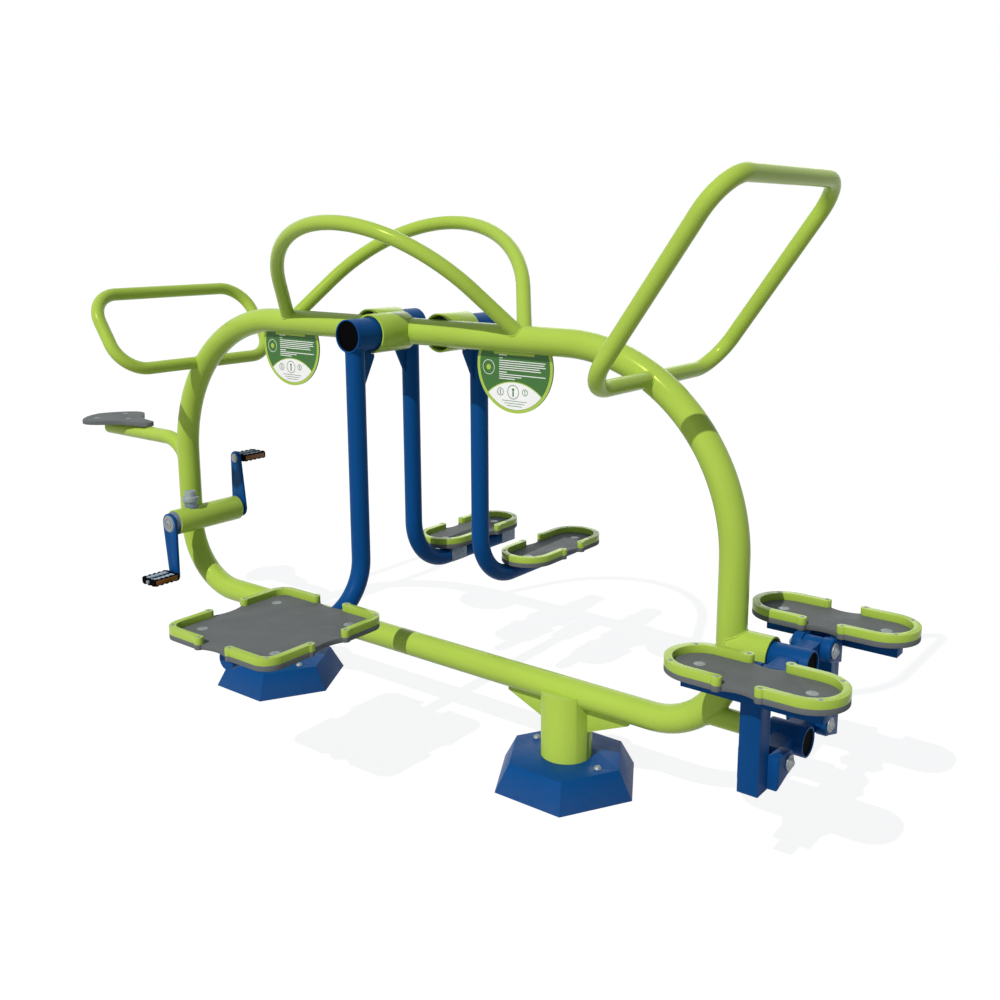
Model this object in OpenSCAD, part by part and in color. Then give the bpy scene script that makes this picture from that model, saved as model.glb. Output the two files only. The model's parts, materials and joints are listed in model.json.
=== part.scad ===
// Outdoor fitness station: one closed tubular frame on two posts that carries a
// balance board, a pair of swinging foot plates, a hand crank seat and a stepper.
// X runs along the frame, Y across it (negative is the front), Z is up.

/* [Main frame] */
// Outer diameter of the main frame tube
frame_od = 88.9; // [70:0.1:110]
// Wall of the main frame tube
frame_wall = 4; // [3:0.5:6]
// Distance between the centrelines of the two uprights
frame_span = 2500; // [2400:10:2700]
// Height of the lower tube's centreline above the ground
frame_low_z = 309; // [290:1:360]
// Height of the top beam's centreline above the ground
frame_top_z = 1437; // [1400:1:1500]
// Centreline radius of the two upper bends
bend_top_r = 585; // [560:5:600]
// Centreline radius of the two lower bends
bend_low_r = 258; // [240:1:270]

/* [Posts and feet] */
// Distance of the left post from the left upright's centreline
post_left_in = 526; // [480:1:560]
// Distance of the right post from the right upright's centreline
post_right_in = 574; // [530:1:610]
// Outer diameter of a post
post_od = 168.3; // [150:0.1:180]
// Wall of a post
post_wall = 5; // [4:0.5:8]
// Thickness of the cap that closes a post
post_cap_t = 6; // [4:1:10]
// Diameter of the foot flange
flange_d = 360; // [340:5:380]
// Thickness of the foot flange
flange_t = 12; // [10:1:16]
// Diameter of the circle of anchor holes
anchor_pcd = 300; // [280:2:310]
// Diameter of the anchor bolts that the holes take
anchor_d = 16; // [12:1:18]
// Clearance of an anchor bolt in its hole, on the radius
anchor_clear = 1; // [0.5:0.1:2]
// Reach of a gusset beyond its post
gusset_reach = 152; // [120:1:170]
// Thickness of a gusset
gusset_t = 10; // [6:1:14]
// Height of a gusset at its tip, under the tube
gusset_tip = 13; // [6:0.5:18]
// Height of a gusset where it meets the post, under the tube
gusset_root = 77; // [50:1:90]
// Corner radius of a hexagonal foot cover on the ground
cover_low_r = 255; // [248:1:270]
// Corner radius of a hexagonal foot cover at its top
cover_top_r = 204; // [190:1:210]
// Height of a foot cover
cover_h = 90; // [80:1:110]
// Sheet thickness of a foot cover
cover_t = 3; // [2:0.5:4]
// Gap between a cover and its post, on the radius
cover_gap = 0.8; // [0.5:0.1:2]
// Distance of the cover bolts from the post's axis
cover_bolt_r = 145; // [135:1:150]
// Turn of the pair of cover bolts around the post
cover_bolt_turn = -12; // [-30:1:30]

/* [Hand loops] */
// Outer diameter of the hand loop and arch tube
grip_od = 48.3; // [40:0.1:52]
// Wall of the hand loop and arch tube
grip_wall = 3; // [2:0.5:4]
// Half of the width of a hand loop, between centrelines
loop_half_w = 366; // [330:1:400]
// Centreline radius of a hand loop's corners
loop_corner_r = 118; // [90:1:130]
// Lean of both hand loops away from upright
loop_lean_angle = 35; // [25:1:45]
// Length of the left hand loop along its slope
loop_left_len = 335; // [300:1:380]
// Angle along the left upper bend, from its top, where the left hand loop's low bar crosses it
loop_left_angle = 48.9; // [44:0.1:54]
// Distance of that bar's centreline outside the bend's centreline
loop_left_out = 16; // [0:1:24]
// Length of the right hand loop along its slope
loop_right_len = 686; // [640:1:740]
// Angle along the right upper bend, from its top, where the right hand loop's low bar crosses it
loop_right_angle = 31.3; // [26:0.1:36]
// Distance of that bar's centreline outside the bend's centreline
loop_right_out = 2.4; // [0:0.1:24]

/* [Arches] */
// Centreline radius of an arch
arch_r = 500; // [460:5:530]
// Height of an arch's crown over the beam's centreline, along its lean
arch_rise = 470; // [440:5:500]
// Angle between an arch's straight leg and the arch's own upright
arch_leg_angle = 27; // [20:1:32]
// Lean of the front arch forward and of the back arch backward
arch_lean_angle = 40; // [36:1:50]
// Offset of the arches' middle from the middle of the frame, to the left
arch_offset = 42; // [20:1:70]

/* [Signs] */
// Radius of a sign disc
sign_r = 150; // [130:1:160]
// Thickness of a sign
sign_t = 5; // [3:0.5:8]
// Distance of a sign's centre below the beam's underside
sign_centre_drop = 43.5; // [30:0.5:60]
// Distance of the left sign's middle from the left end of the beam's straight
sign_left_in = 83; // [60:1:110]
// Distance of the right sign's middle from the right end of the beam's straight
sign_right_in = 200; // [170:1:230]
// Length of the strip along a sign's top
sign_tab_w = 160; // [120:1:200]
// Height of the strip below the beam's underside
sign_tab_lap = 7; // [4:1:14]
// Thickness of the strip
sign_tab_t = 9; // [8:0.5:14]

/* [Pendulum bearings and hubs] */
// Outer diameter of a pendulum's bearing housing
housing_od = 130; // [124:1:136]
// Wall of a bearing housing
housing_wall = 6; // [4:0.5:8]
// Length of the balance board's bearing housing from the beam's centreline
surf_housing_len = 160; // [150:1:170]
// Length of a foot plate's bearing housing from the beam's centreline
walk_housing_len = 140; // [132:1:160]
// Outer diameter of a pendulum's hub tube
hub_od = 108; // [100:1:110]
// Wall of a hub tube
hub_wall = 4; // [3:0.5:6]
// Distance of a hub tube's outer end from its housing's end
hub_out = 102; // [90:1:115]
// Length of a hub tube that reaches into its housing
hub_overlap = 10; // [6:1:14]
// Diameter of a pendulum's shaft
shaft_d = 40; // [30:1:45]
// Length of each bearing
bearing_len = 20; // [14:1:24]
// Running clearance of a shaft in its bearing, on the radius
run_clear = 0.05; // [0.02:0.01:0.1]
// Distance between neighbouring pendulum axes along the beam
hub_pitch = 162; // [150:1:175]
// Offset of the middle pendulum from the middle of the frame, to the left
hub_offset = 15; // [0:1:40]

/* [Pendulum legs] */
// Outer diameter of a pendulum's leg
leg_od = 63.5; // [57:0.1:66]
// Wall of a leg
leg_wall = 3.2; // [2.5:0.1:5]
// Centreline radius of a leg's bend
leg_bend_r = 180; // [170:1:184]
// Height of the balance board's leg's lower run above the ground
surf_leg_z = 506; // [480:1:530]
// Height of a foot plate's leg's lower run above the ground
walk_leg_z = 511; // [485:1:535]
// Thickness of the stiffener plate under a hub
stiffener_t = 10; // [6:1:14]
// Height of the stiffener under the hub tube
stiffener_h = 130; // [100:1:160]

/* [Foot plates] */
// Length of a foot plate
plate_len = 504; // [480:1:520]
// Width of a foot plate
plate_w = 205; // [196:1:210]
// Thickness of every standing board
board_t = 16; // [14:1:20]
// Height of the rims above the boards
rim_h = 22; // [18:1:26]
// Width of a rim
rim_w = 22; // [18:1:24]
// Distance of a rim's ends from the middle of a foot plate
rim_end = 60; // [50:1:70]
// Angle from a foot plate's long axis to the bolts in its round ends
rim_bolt_angle = 51; // [40:1:60]
// Radius of the boss at each end of a rim
boss_r = 14; // [13:0.5:16]
// Depth of the waist cut in a board's side
waist_depth = 20; // [14:1:26]
// Distance of the two big bolts from the middle of a foot plate
plate_bolt = 158; // [150:1:164]
// Head diameter of a big bolt
big_head_d = 33; // [26:1:36]
// Head height of a big bolt
big_head_h = 2.5; // [2:0.5:5]
// Shank diameter of a big bolt
big_d = 12; // [10:1:14]
// Head diameter of a rim bolt
rim_head_d = 13; // [11:0.5:16]
// Head height of a rim bolt
rim_head_h = 1.5; // [1:0.1:3]
// Shank diameter of a rim bolt
rim_bolt_d = 8; // [6:0.5:9]
// Distance of the swinging foot plates from the frame's plane
walk_y = 595; // [590:1:610]
// Distance of each swinging foot plate from the middle pendulum
walk_x = 205.5; // [203:0.5:212]

/* [Balance board] */
// Side of the square balance board
surf_side = 490; // [470:1:500]
// Corner radius of the balance board
surf_corner_r = 58; // [50:1:80]
// Distance of a rim's ends from the middle of the balance board
surf_rim_end = 72; // [60:1:80]
// Distance of the balance board from the frame's plane
surf_y = 616.5; // [612:0.5:640]
// Offset of the balance board from its leg, to the right
surf_board_shift = 7.5; // [0:0.5:20]
// Distance of the big bolts from the board's middle, along X
surf_bolt_x = 169.5; // [160:0.5:176]
// Distance of the big bolts from the board's middle, along Y
surf_bolt_y = 149.5; // [140:0.5:156]
// Width of the cross bars under the balance board
surf_bar_w = 50; // [40:1:60]
// Thickness of the cross bars under the balance board
surf_bar_t = 10; // [8:1:14]

/* [Crank] */
// Height of the crank's axis above the ground
crank_z = 603; // [590:1:640]
// Outer diameter of the crank's housing
crank_od = 101.6; // [95:0.1:108]
// Wall of the crank's housing
crank_wall = 5; // [4:0.5:7]
// Half of the length of the crank's housing
crank_half = 154; // [145:1:160]
// Distance from the crank's axis to a pedal's axis
crank_throw = 212; // [170:1:225]
// Thickness of a crank arm
crank_arm_t = 12; // [10:1:16]
// Radius of a crank arm at the axle
crank_arm_r = 42; // [36:1:46]
// Radius of a crank arm at the pedal
crank_end_r = 29; // [22:1:32]
// Diameter of the crank's axle
axle_d = 25; // [20:1:30]
// Turn of the crank from upright, as it stands
crank_turn = 2.5; // [0:0.1:8]
// Diameter of the cap on each end of the axle
axle_cap_d = 70; // [60:1:76]
// Thickness of the cap on each end of the axle
axle_cap_t = 4; // [3:0.5:6]
// Length of a pedal along its pin
pedal_len = 125; // [105:1:135]
// Width of a pedal
pedal_w = 100; // [85:1:110]
// Height of a pedal
pedal_h = 30; // [24:1:34]
// Diameter of a pedal's pin
pedal_pin_d = 14; // [12:0.5:16]
// Diameter of the head of a pedal's pin
pedal_head_d = 38; // [28:1:44]
// Gap between a crank arm and its pedal
pedal_gap = 5; // [3:0.5:8]

/* [Resistance knob] */
// Distance of the knob from the middle of the housing, to the front
knob_y = 72; // [60:1:85]
// Diameter of the fixed boss under the knob
knob_boss_d = 52; // [40:1:60]
// Height of the fixed boss over the housing's crown
knob_boss_h = 22; // [14:1:24]
// Diameter of the knob's skirt
knob_d = 66; // [60:1:80]
// Height of the knob's skirt
knob_skirt_h = 21; // [20:1:32]
// Diameter of the knob's crown
knob_top_d = 45; // [36:1:54]
// Height of the knob's crown
knob_top_h = 24; // [20:1:34]
// Diameter of the knob's stem
knob_stem_d = 16; // [12:1:20]

/* [Seat] */
// Outer diameter of the seat arm
seat_arm_od = 60.3; // [50:0.1:64]
// Wall of the seat arm
seat_arm_wall = 3.2; // [2.5:0.1:5]
// Height of the seat arm's level run
seat_arm_z = 908; // [880:1:940]
// Distance of the seat arm's end from the left upright's centreline
seat_arm_out = 553; // [540:1:570]
// Distance of the start of the seat arm's bend from the left upright's centreline
seat_arm_bend_out = 141; // [139:1:143]
// Centreline radius of the seat arm's bend
seat_arm_bend_r = 138; // [136:1:142]
// Angle through which the seat arm bends down
seat_arm_angle = 72; // [70:1:76]
// Thickness of the plate under the seat
seat_mount_t = 6; // [4:1:8]
// Length of the seat
seat_len = 391; // [375:1:420]
// Width of the seat
seat_w = 286; // [260:1:310]
// Thickness of the seat
seat_t = 18; // [15:1:24]
// Distance of the seat's nose from the left upright's centreline
seat_nose_out = 250; // [240:1:260]
// Head diameter of a seat bolt
seat_bolt_head = 22; // [18:1:26]
// Shank diameter of a seat bolt
seat_bolt_d = 10; // [8:0.5:12]

/* [Stepper] */
// Height of the upper rocker's axis above the ground
step_top_z = 597; // [585:1:605]
// Height of the lower rocker's axis above the ground
step_low_z = 371; // [365:1:378]
// Outer diameter of the stepper's upper housing
step_housing_od = 114.3; // [108:0.1:118]
// Wall of the stepper's upper housing
step_housing_wall = 6; // [4:0.5:7]
// Distance of the upper housing's end from the right upright's centreline
step_housing_out = 130; // [128:1:145]
// Outer diameter of the stepper's lower stub
step_stub_od = 63.5; // [60:0.1:66]
// Wall of the stepper's lower stub
step_stub_wall = 5; // [4:0.5:7]
// Outer diameter of a rocker's hub
rocker_od = 88.9; // [84:0.1:92]
// Wall of a rocker's hub
rocker_wall = 5; // [4:0.5:6]
// Distance of a rocker's outer end from the right upright's centreline
rocker_out = 247; // [246:1:254]
// Distance between a rocker's axis and each of its pins
rocker_arm = 143; // [138:1:150]
// Width of a rocker's arm along its axis
rocker_arm_w = 56; // [50:1:57]
// Height of a rocker's arm
rocker_arm_h = 50; // [40:1:56]
// Radius of a rocker's eye
rocker_eye_r = 32; // [28:1:34]
// Diameter of a rocker's pin
pin_d = 25; // [20:1:28]
// Diameter of a pin's head washer
pin_head_d = 46; // [40:1:50]
// Clearance of the lower pins, where the linkage is opened, on the radius
open_clear = 0.4; // [0.3:0.1:0.8]
// Distance of a pedal plate from the frame's plane
step_y = 271; // [268:1:276]
// Distance of the middle of the pedal plates from the right upright's centreline
step_out = 198; // [196:1:204]
// Height of the pedal plates' tops above the ground
step_board_z = 644; // [642:1:652]
// Side of the square post under a pedal plate
carrier_post = 60; // [58:0.5:61]
// Distance of the post's middle from the right upright's centreline
carrier_post_out = 192; // [191:1:194]
// Inset of the post's middle from the middle of its pedal plate
carrier_post_in = 31; // [27:1:33]
// Height of the lower end of the post above the ground
carrier_post_z = 312; // [300:1:318]
// Width and height of the beam under a pedal plate
carrier_beam = 50; // [44:1:56]
// Length of the beam under a pedal plate
carrier_beam_len = 400; // [370:5:420]
// Wall of the post and of the beam
carrier_wall = 4; // [3:0.5:5]
// Thickness of the cheeks that hold the pins
cheek_t = 30; // [24:1:32]
// Radius of the cheeks around a pin
cheek_r = 35; // [33:0.5:35.5]
// Reach of the cheeks past the inner face of the post
cheek_lap = 2; // [2:0.5:6]

/* [Hidden] */
$fn = 64;

// overrun of every cut, and the gap between flat faces that slide
over = 1;
slide = 0.3;

// places along X, measured from the middle of the frame
half_span = frame_span / 2;
beam_half = half_span - bend_top_r;
post_left_x = half_span - post_left_in;
post_right_x = half_span - post_right_in;
sign_left_x = beam_half - sign_left_in;
sign_right_x = beam_half - sign_right_in;
loop_left_x = beam_half + (bend_top_r + loop_left_out) * sin(loop_left_angle);
loop_left_z = frame_top_z - bend_top_r + (bend_top_r + loop_left_out) * cos(loop_left_angle);
loop_right_x = beam_half + (bend_top_r + loop_right_out) * sin(loop_right_angle);
loop_right_z = frame_top_z - bend_top_r + (bend_top_r + loop_right_out) * cos(loop_right_angle);
seat_arm_end = half_span + seat_arm_out;
seat_arm_bend_x = half_span + seat_arm_bend_out;
seat_nose_x = half_span + seat_nose_out;
step_housing_end = half_span + step_housing_out;
rocker_end = half_span + rocker_out;
step_x = half_span + step_out;
carrier_post_x = half_span + carrier_post_out;
surf_x = -hub_offset;
surf_board_x = surf_x + surf_board_shift;
hub_left_x = surf_x - hub_pitch;
hub_right_x = surf_x + hub_pitch;
plate_left_x = surf_x - walk_x;
plate_right_x = surf_x + walk_x;
crank_bite = 1.5;
crank_x = -half_span + frame_od / 2 + crank_od / 2 - crank_bite;

// rim bosses of the balance board
boss_in = 2;
surf_boss = surf_side / 2 - boss_r / 2 - boss_in;

// the origin stands under the middle of the part's box
box_left = -(seat_nose_x + seat_len);
box_right = step_x + plate_len / 2;
box_front = -(surf_y + surf_boss + boss_r);
box_back = walk_y + plate_len / 2;
origin_shift = [-(box_left + box_right) / 2, -(box_front + box_back) / 2, 0];

// heights that follow from the sizes above
leg_r = leg_od / 2;
surf_bar_seat = 4.25;
clamp_t = 6;
surf_board_z = surf_leg_z + leg_r + surf_bar_seat;
walk_board_z = walk_leg_z + leg_r + clamp_t;
step_board_low = step_board_z - board_t;
carrier_post_y = step_y - carrier_post_in;
plate_r = plate_w / 2;
plate_straight = plate_len / 2 - plate_r;
boss_y = plate_r - boss_r / 2;

// fasteners
nut_h_share = 0.8;
nut_d_share = 1.7;
dome_d = 26;
dome_h = 10;
dome_shank_d = 8;
dome_shank_len = 24;
plug_t = 5;
plug_inset = 5;
web_t = 10;

// bearings: where they stand along their axes, from the frame outward
bearing_in = 12;
bearing_space = 2;
step_bearing_in = 15;
rocker_in = 12;
bearing_in_y = frame_od / 2 + bearing_in;
bearing_out_inset = hub_overlap + bearing_space + bearing_len;
step_bearing_x1 = half_span + frame_od / 2 + bearing_in;
step_bearing_x2 = step_housing_end - step_bearing_in - bearing_len;

// swinging foot plates' saddles
clamp_len = 86;
clamp_wall = 3;
clamp_drop = 20;
clamp_end = 2;
walk_run_end = walk_y + plate_bolt + clamp_len / 2 + clamp_end;

// balance board's leg
surf_leg_end = 40;
surf_run_end = surf_y + surf_bolt_y + surf_leg_end;

// stiffener under a hub: gap to the housing, reach under it and height of its short end
stiffener_gap = 2;
stiffener_reach = 14;
stiffener_lip = 11;

// crank
crank_collar_d = 66;
crank_collar = 16;
crank_arm_y = crank_half + crank_collar + slide;
pin_head_t = 4;
pin_end = 5;

// seat
seat_gap = 0.5;
seat_low_z = seat_arm_z + seat_arm_od / 2 + seat_gap;
seat_bolt_dome_h = 2;
seat_nut_h = 8;
seat_bar_w = 40;

// stepper
rocker_gap = 4;
rocker_start = step_housing_end + rocker_gap;
stub_end = rocker_end - plug_inset - plug_t - web_t - bearing_space;
stub_start_share = 0.55;
stub_start = half_span - bend_low_r + bend_low_r * stub_start_share;
cheek_low = 57;
cheek_high_top = 26;
cheek_high_low = 40;
vent_d = 10;
pin_washer_t = 5;
pin_dome_h = 10;
pin_dome_d = 30;

// posts
post_over = 2;

// joint between an arch's bow and its legs
hairline = 0.02;
sleeve_len = 24;

// colours as photographed
lime = [0.62, 0.74, 0.27];
blue = [0.10, 0.28, 0.50];
grey = [0.42, 0.44, 0.44];
steel = [0.70, 0.72, 0.74];
zinc = [0.50, 0.54, 0.58];
black = [0.03, 0.03, 0.03];
sign_green = [0.27, 0.47, 0.22];

// basic shapes

// a rod from the origin along +X
module rod_x(d, len) {
    rotate([0, 90, 0]) cylinder(h = len, d = d);
}

// a rod from the origin along +Y
module rod_y(d, len) {
    rotate([-90, 0, 0]) cylinder(h = len, d = d);
}

// part of a ring of round rod in the XZ plane, from one polar angle to another
module rod_arc(radius, from, to, d) {
    rotate([90, 0, 0])
        rotate([0, 0, from])
            rotate_extrude(angle = to - from, $fn = 96)
                translate([radius, 0])
                    circle(d = d);
}

// a rectangular loop of rod with round corners, in the XZ plane, low bar on Z = 0
module rod_loop(half_w, height, corner, d) {
    straight_w = half_w - corner;
    straight_h = height - 2 * corner;
    for (z = [0, height])
        translate([-straight_w, 0, z]) rod_x(d, 2 * straight_w);
    for (x = [-half_w, half_w])
        translate([x, 0, corner]) cylinder(h = straight_h, d = d);
    translate([straight_w, 0, corner]) rod_arc(corner, -90, 0, d);
    translate([straight_w, 0, height - corner]) rod_arc(corner, 0, 90, d);
    translate([-straight_w, 0, height - corner]) rod_arc(corner, 90, 180, d);
    translate([-straight_w, 0, corner]) rod_arc(corner, 180, 270, d);
}

// one side of the frame: lower bend, upright and upper bend
module side_rod(side, d) {
    mirror([side < 0 ? 1 : 0, 0, 0]) {
        translate([half_span - bend_low_r, 0, frame_low_z + bend_low_r])
            rod_arc(bend_low_r, -90, 0, d);
        translate([half_span, 0, frame_low_z + bend_low_r])
            cylinder(h = frame_top_z - bend_top_r - frame_low_z - bend_low_r, d = d);
        translate([half_span - bend_top_r, 0, frame_top_z - bend_top_r])
            rod_arc(bend_top_r, 0, 90, d);
    }
}

// the straight beam on top, and the straight tube at the bottom
module beam_rod(d) {
    translate([-(half_span - bend_top_r), 0, frame_top_z])
        rod_x(d, 2 * (half_span - bend_top_r));
}

module bottom_rod(d) {
    translate([-(half_span - bend_low_r), 0, frame_low_z])
        rod_x(d, 2 * (half_span - bend_low_r));
}

// a low dome, flat underneath
module dome(d, h) {
    ball = (d * d / 4 + h * h) / (2 * h);
    intersection() {
        translate([0, 0, h - ball]) sphere(r = ball);
        cylinder(h = h, d = d);
    }
}

// a hexagonal frustum with corners on the X axis, cut from a hexagonal prism
module hex_frustum(low_r, top_r, h) {
    flat_share = cos(30);
    low_flat = low_r * flat_share;
    top_flat = top_r * flat_share;
    tilt = atan((low_flat - top_flat) / h);
    difference() {
        cylinder(h = h, r = low_r, $fn = 6);
        for (k = [0 : 5])
            rotate([0, 0, 30 + 60 * k])
                translate([low_flat, 0, 0])
                    rotate([0, -tilt, 0])
                        translate([0, -low_r, -h])
                            cube([low_r, 2 * low_r, 3 * h]);
    }
}

// frame

module bottom_tube() {
    color(lime) difference() {
        bottom_rod(frame_od);
        bottom_rod(frame_od - 2 * frame_wall);
    }
}

module top_beam() {
    color(lime) difference() {
        beam_rod(frame_od);
        beam_rod(frame_od - 2 * frame_wall);
    }
}

module side(s) {
    color(lime) difference() {
        side_rod(s, frame_od);
        side_rod(s, frame_od - 2 * frame_wall);
    }
}

module side_left() { side(-1); }
module side_right() { side(1); }

module post(x) {
    gusset_top = frame_low_z;
    tube_low = frame_low_z - frame_od / 2;
    reach = post_od / 2 + gusset_reach;
    color(lime) difference() {
        union() {
            translate([x, 0, 0]) difference() {
                union() {
                    cylinder(h = flange_t, d = flange_d);
                    cylinder(h = frame_low_z + post_over, d = post_od);
                }
                translate([0, 0, flange_t])
                    cylinder(h = frame_low_z + post_over - flange_t - post_cap_t, d = post_od - 2 * post_wall);
                for (k = [0 : 3])
                    rotate([0, 0, 45 + 90 * k])
                        translate([anchor_pcd / 2, 0, -over])
                            cylinder(h = flange_t + 2 * over, d = anchor_d + 2 * anchor_clear);
            }
            for (m = [0, 1])
                translate([x, 0, 0]) mirror([m, 0, 0]) difference() {
                    translate([0, gusset_t / 2, 0]) rotate([90, 0, 0])
                        linear_extrude(height = gusset_t)
                            polygon([[0, tube_low - gusset_root], [post_od / 2, tube_low - gusset_root],
                                [reach, tube_low - gusset_tip], [reach, gusset_top], [0, gusset_top]]);
                    cylinder(h = frame_low_z + over, d = post_od - post_wall);
                }
        }
        bottom_rod(frame_od);
    }
}

module post_left() { post(-post_left_x); }
module post_right() { post(post_right_x); }

module cover(x) {
    color(blue) translate([x, 0, 0]) difference() {
        hex_frustum(cover_low_r, cover_top_r, cover_h);
        difference() {
            hex_frustum(cover_low_r - cover_t, cover_top_r - cover_t, cover_h);
            translate([0, 0, cover_h - cover_t]) cylinder(h = 2 * cover_t, r = cover_low_r);
        }
        cylinder(h = cover_h + over, d = post_od + 2 * cover_gap);
        cover_bolt_places() translate([0, 0, cover_h / 2]) cylinder(h = cover_h, d = dome_shank_d);
    }
}

module cover_bolt_places() {
    for (k = [0, 1])
        rotate([0, 0, cover_bolt_turn + 180 * k])
            translate([cover_bolt_r, 0, 0])
                children();
}

module cover_left() { cover(-post_left_x); }
module cover_right() { cover(post_right_x); }

// domed bolts of the covers and of the seat
module frame_bolts() {
    color(steel) {
        for (x = [-post_left_x, post_right_x])
            translate([x, 0, cover_h]) cover_bolt_places() {
                dome(dome_d, dome_h);
                translate([0, 0, -dome_shank_len]) cylinder(h = dome_shank_len, d = dome_shank_d);
            }
        seat_bolt_places() {
            translate([0, 0, seat_t]) dome(seat_bolt_head, seat_bolt_dome_h);
            translate([0, 0, -seat_mount_t - seat_nut_h])
                cylinder(h = seat_t + seat_mount_t + seat_nut_h, d = seat_bolt_d);
            translate([0, 0, -seat_mount_t - seat_nut_h])
                cylinder(h = seat_nut_h, d = seat_bolt_d * nut_d_share, $fn = 6);
        }
    }
}

// hand loops and arches

module loop_place(x, z, lean) {
    translate([x, 0, z]) rotate([0, lean, 0]) rotate([0, 0, 90]) children();
}

module handle(side, x, z, len) {
    color(lime) difference() {
        loop_place(side * x, z, side * loop_lean_angle) difference() {
            rod_loop(loop_half_w, len, loop_corner_r, grip_od);
            rod_loop(loop_half_w, len, loop_corner_r, grip_od - 2 * grip_wall);
        }
        side_rod(side, frame_od);
    }
}

module handle_left() { handle(-1, loop_left_x, loop_left_z, loop_left_len); }
module handle_right() { handle(1, loop_right_x, loop_right_z, loop_right_len); }

// a ring of tube along Z
module tube_z(od, id, len) {
    difference() {
        cylinder(h = len, d = od);
        translate([0, 0, -over]) cylinder(h = len + 2 * over, d = id);
    }
}

// a bow with two straight legs, each butted to it with a hairline and joined by an inner sleeve
module arch_tube() {
    centre_z = arch_rise - arch_r;
    leg_z = centre_z + arch_r * sin(arch_leg_angle);
    leg_len = leg_z / cos(arch_leg_angle);
    grip_id = grip_od - 2 * grip_wall;
    translate([0, 0, centre_z]) difference() {
        rod_arc(arch_r, arch_leg_angle, 180 - arch_leg_angle, grip_od);
        rod_arc(arch_r, arch_leg_angle, 180 - arch_leg_angle, grip_id);
    }
    for (m = [0, 1])
        mirror([m, 0, 0]) translate([arch_r * cos(arch_leg_angle), 0, leg_z])
            rotate([0, 180 - arch_leg_angle, 0]) {
                translate([0, 0, hairline]) tube_z(grip_od, grip_id, leg_len - hairline);
                translate([0, 0, -sleeve_len / 2])
                    tube_z(grip_id + grip_wall, grip_id - grip_wall, sleeve_len);
            }
}

module arch(lean) {
    color(lime) difference() {
        translate([-arch_offset, 0, frame_top_z]) rotate([lean, 0, 0]) arch_tube();
        beam_rod(frame_od);
    }
}

module arch_front() { arch(arch_lean_angle); }
module arch_back() { arch(-arch_lean_angle); }

// signs

module sign_plate(x) {
    low_z = frame_top_z - frame_od / 2;
    color(sign_green) difference() {
        union() {
            translate([x, sign_t / 2, low_z]) rotate([90, 0, 0]) linear_extrude(height = sign_t)
                intersection() {
                    translate([0, -sign_centre_drop]) circle(r = sign_r, $fn = 128);
                    translate([-sign_r, -2 * sign_r])
                        square([2 * sign_r, 2 * sign_r + frame_od / 2]);
                }
            translate([x - sign_tab_w / 2, -sign_tab_t / 2, low_z - sign_tab_lap])
                cube([sign_tab_w, sign_tab_t, sign_tab_lap + frame_od / 2]);
        }
        beam_rod(frame_od);
        side_rod(sign(x), frame_od);
    }
}

module sign_left() { sign_plate(-sign_left_x); }
module sign_right() { sign_plate(sign_right_x); }

// pendulum housings and bearings

module housing(x, dir, len) {
    color(lime) difference() {
        translate([x, 0, frame_top_z]) mirror([0, dir < 0 ? 1 : 0, 0]) difference() {
            rod_y(housing_od, len);
            translate([0, -over, 0]) rod_y(housing_od - 2 * housing_wall, len + 2 * over);
        }
        beam_rod(frame_od);
    }
}

module surf_housing() { housing(surf_x, -1, surf_housing_len); }
module walk_housings() {
    housing(hub_left_x, 1, walk_housing_len);
    housing(hub_right_x, 1, walk_housing_len);
}

module ring_y(od, id, len) {
    difference() {
        rod_y(od, len);
        translate([0, -over, 0]) rod_y(id, len + 2 * over);
    }
}

module ring_x(od, id, len) {
    rotate([0, 0, -90]) ring_y(od, id, len);
}

module bearings() {
    housing_id = housing_od - 2 * housing_wall;
    step_id = step_housing_od - 2 * step_housing_wall;
    rocker_id = rocker_od - 2 * rocker_wall;
    crank_id = crank_od - 2 * crank_wall;
    boss_z = crank_z + crank_od / 2 + knob_boss_h;
    color(zinc) {
        for (p = [[surf_x, 1, surf_housing_len], [hub_left_x, 0, walk_housing_len],
            [hub_right_x, 0, walk_housing_len]], y = [bearing_in_y, p[2] - bearing_out_inset])
            translate([p[0], 0, frame_top_z]) mirror([0, p[1], 0]) translate([0, y, 0])
                ring_y(housing_id, shaft_d + 2 * run_clear, bearing_len);
        for (x = [step_bearing_x1, step_bearing_x2])
            translate([x, 0, step_top_z]) ring_x(step_id, shaft_d + 2 * run_clear, bearing_len);
        for (x = [rocker_start + over, stub_end - bearing_len])
            translate([x, 0, step_low_z]) ring_x(rocker_id - 2 * run_clear, step_stub_od, bearing_len);
        for (m = [0, 1])
            translate([crank_x, 0, crank_z]) mirror([0, m, 0])
                translate([0, crank_half - bearing_len, 0]) difference() {
                    union() {
                        rod_y(crank_id, bearing_len);
                        rod_y(crank_collar_d, bearing_len + crank_collar);
                    }
                    translate([0, -over, 0])
                        rod_y(axle_d + 2 * run_clear, bearing_len + crank_collar + 2 * over);
                }
        difference() {
            translate([crank_x, -knob_y, crank_z]) cylinder(h = boss_z - crank_z, d = knob_boss_d);
            translate([crank_x, -knob_y, crank_z])
                cylinder(h = boss_z - crank_z + over, d = knob_stem_d + 2 * run_clear);
            translate([crank_x, -crank_half, crank_z]) rod_y(crank_od, 2 * crank_half);
        }
    }
}

// crank

module crank_housing() {
    color(lime) difference() {
        translate([crank_x, -crank_half, crank_z])
            ring_y(crank_od, crank_od - 2 * crank_wall, 2 * crank_half);
        side_rod(-1, frame_od);
        translate([crank_x, -knob_y, crank_z])
            cylinder(h = crank_od, d = knob_stem_d + 2 * run_clear);
    }
}

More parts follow.
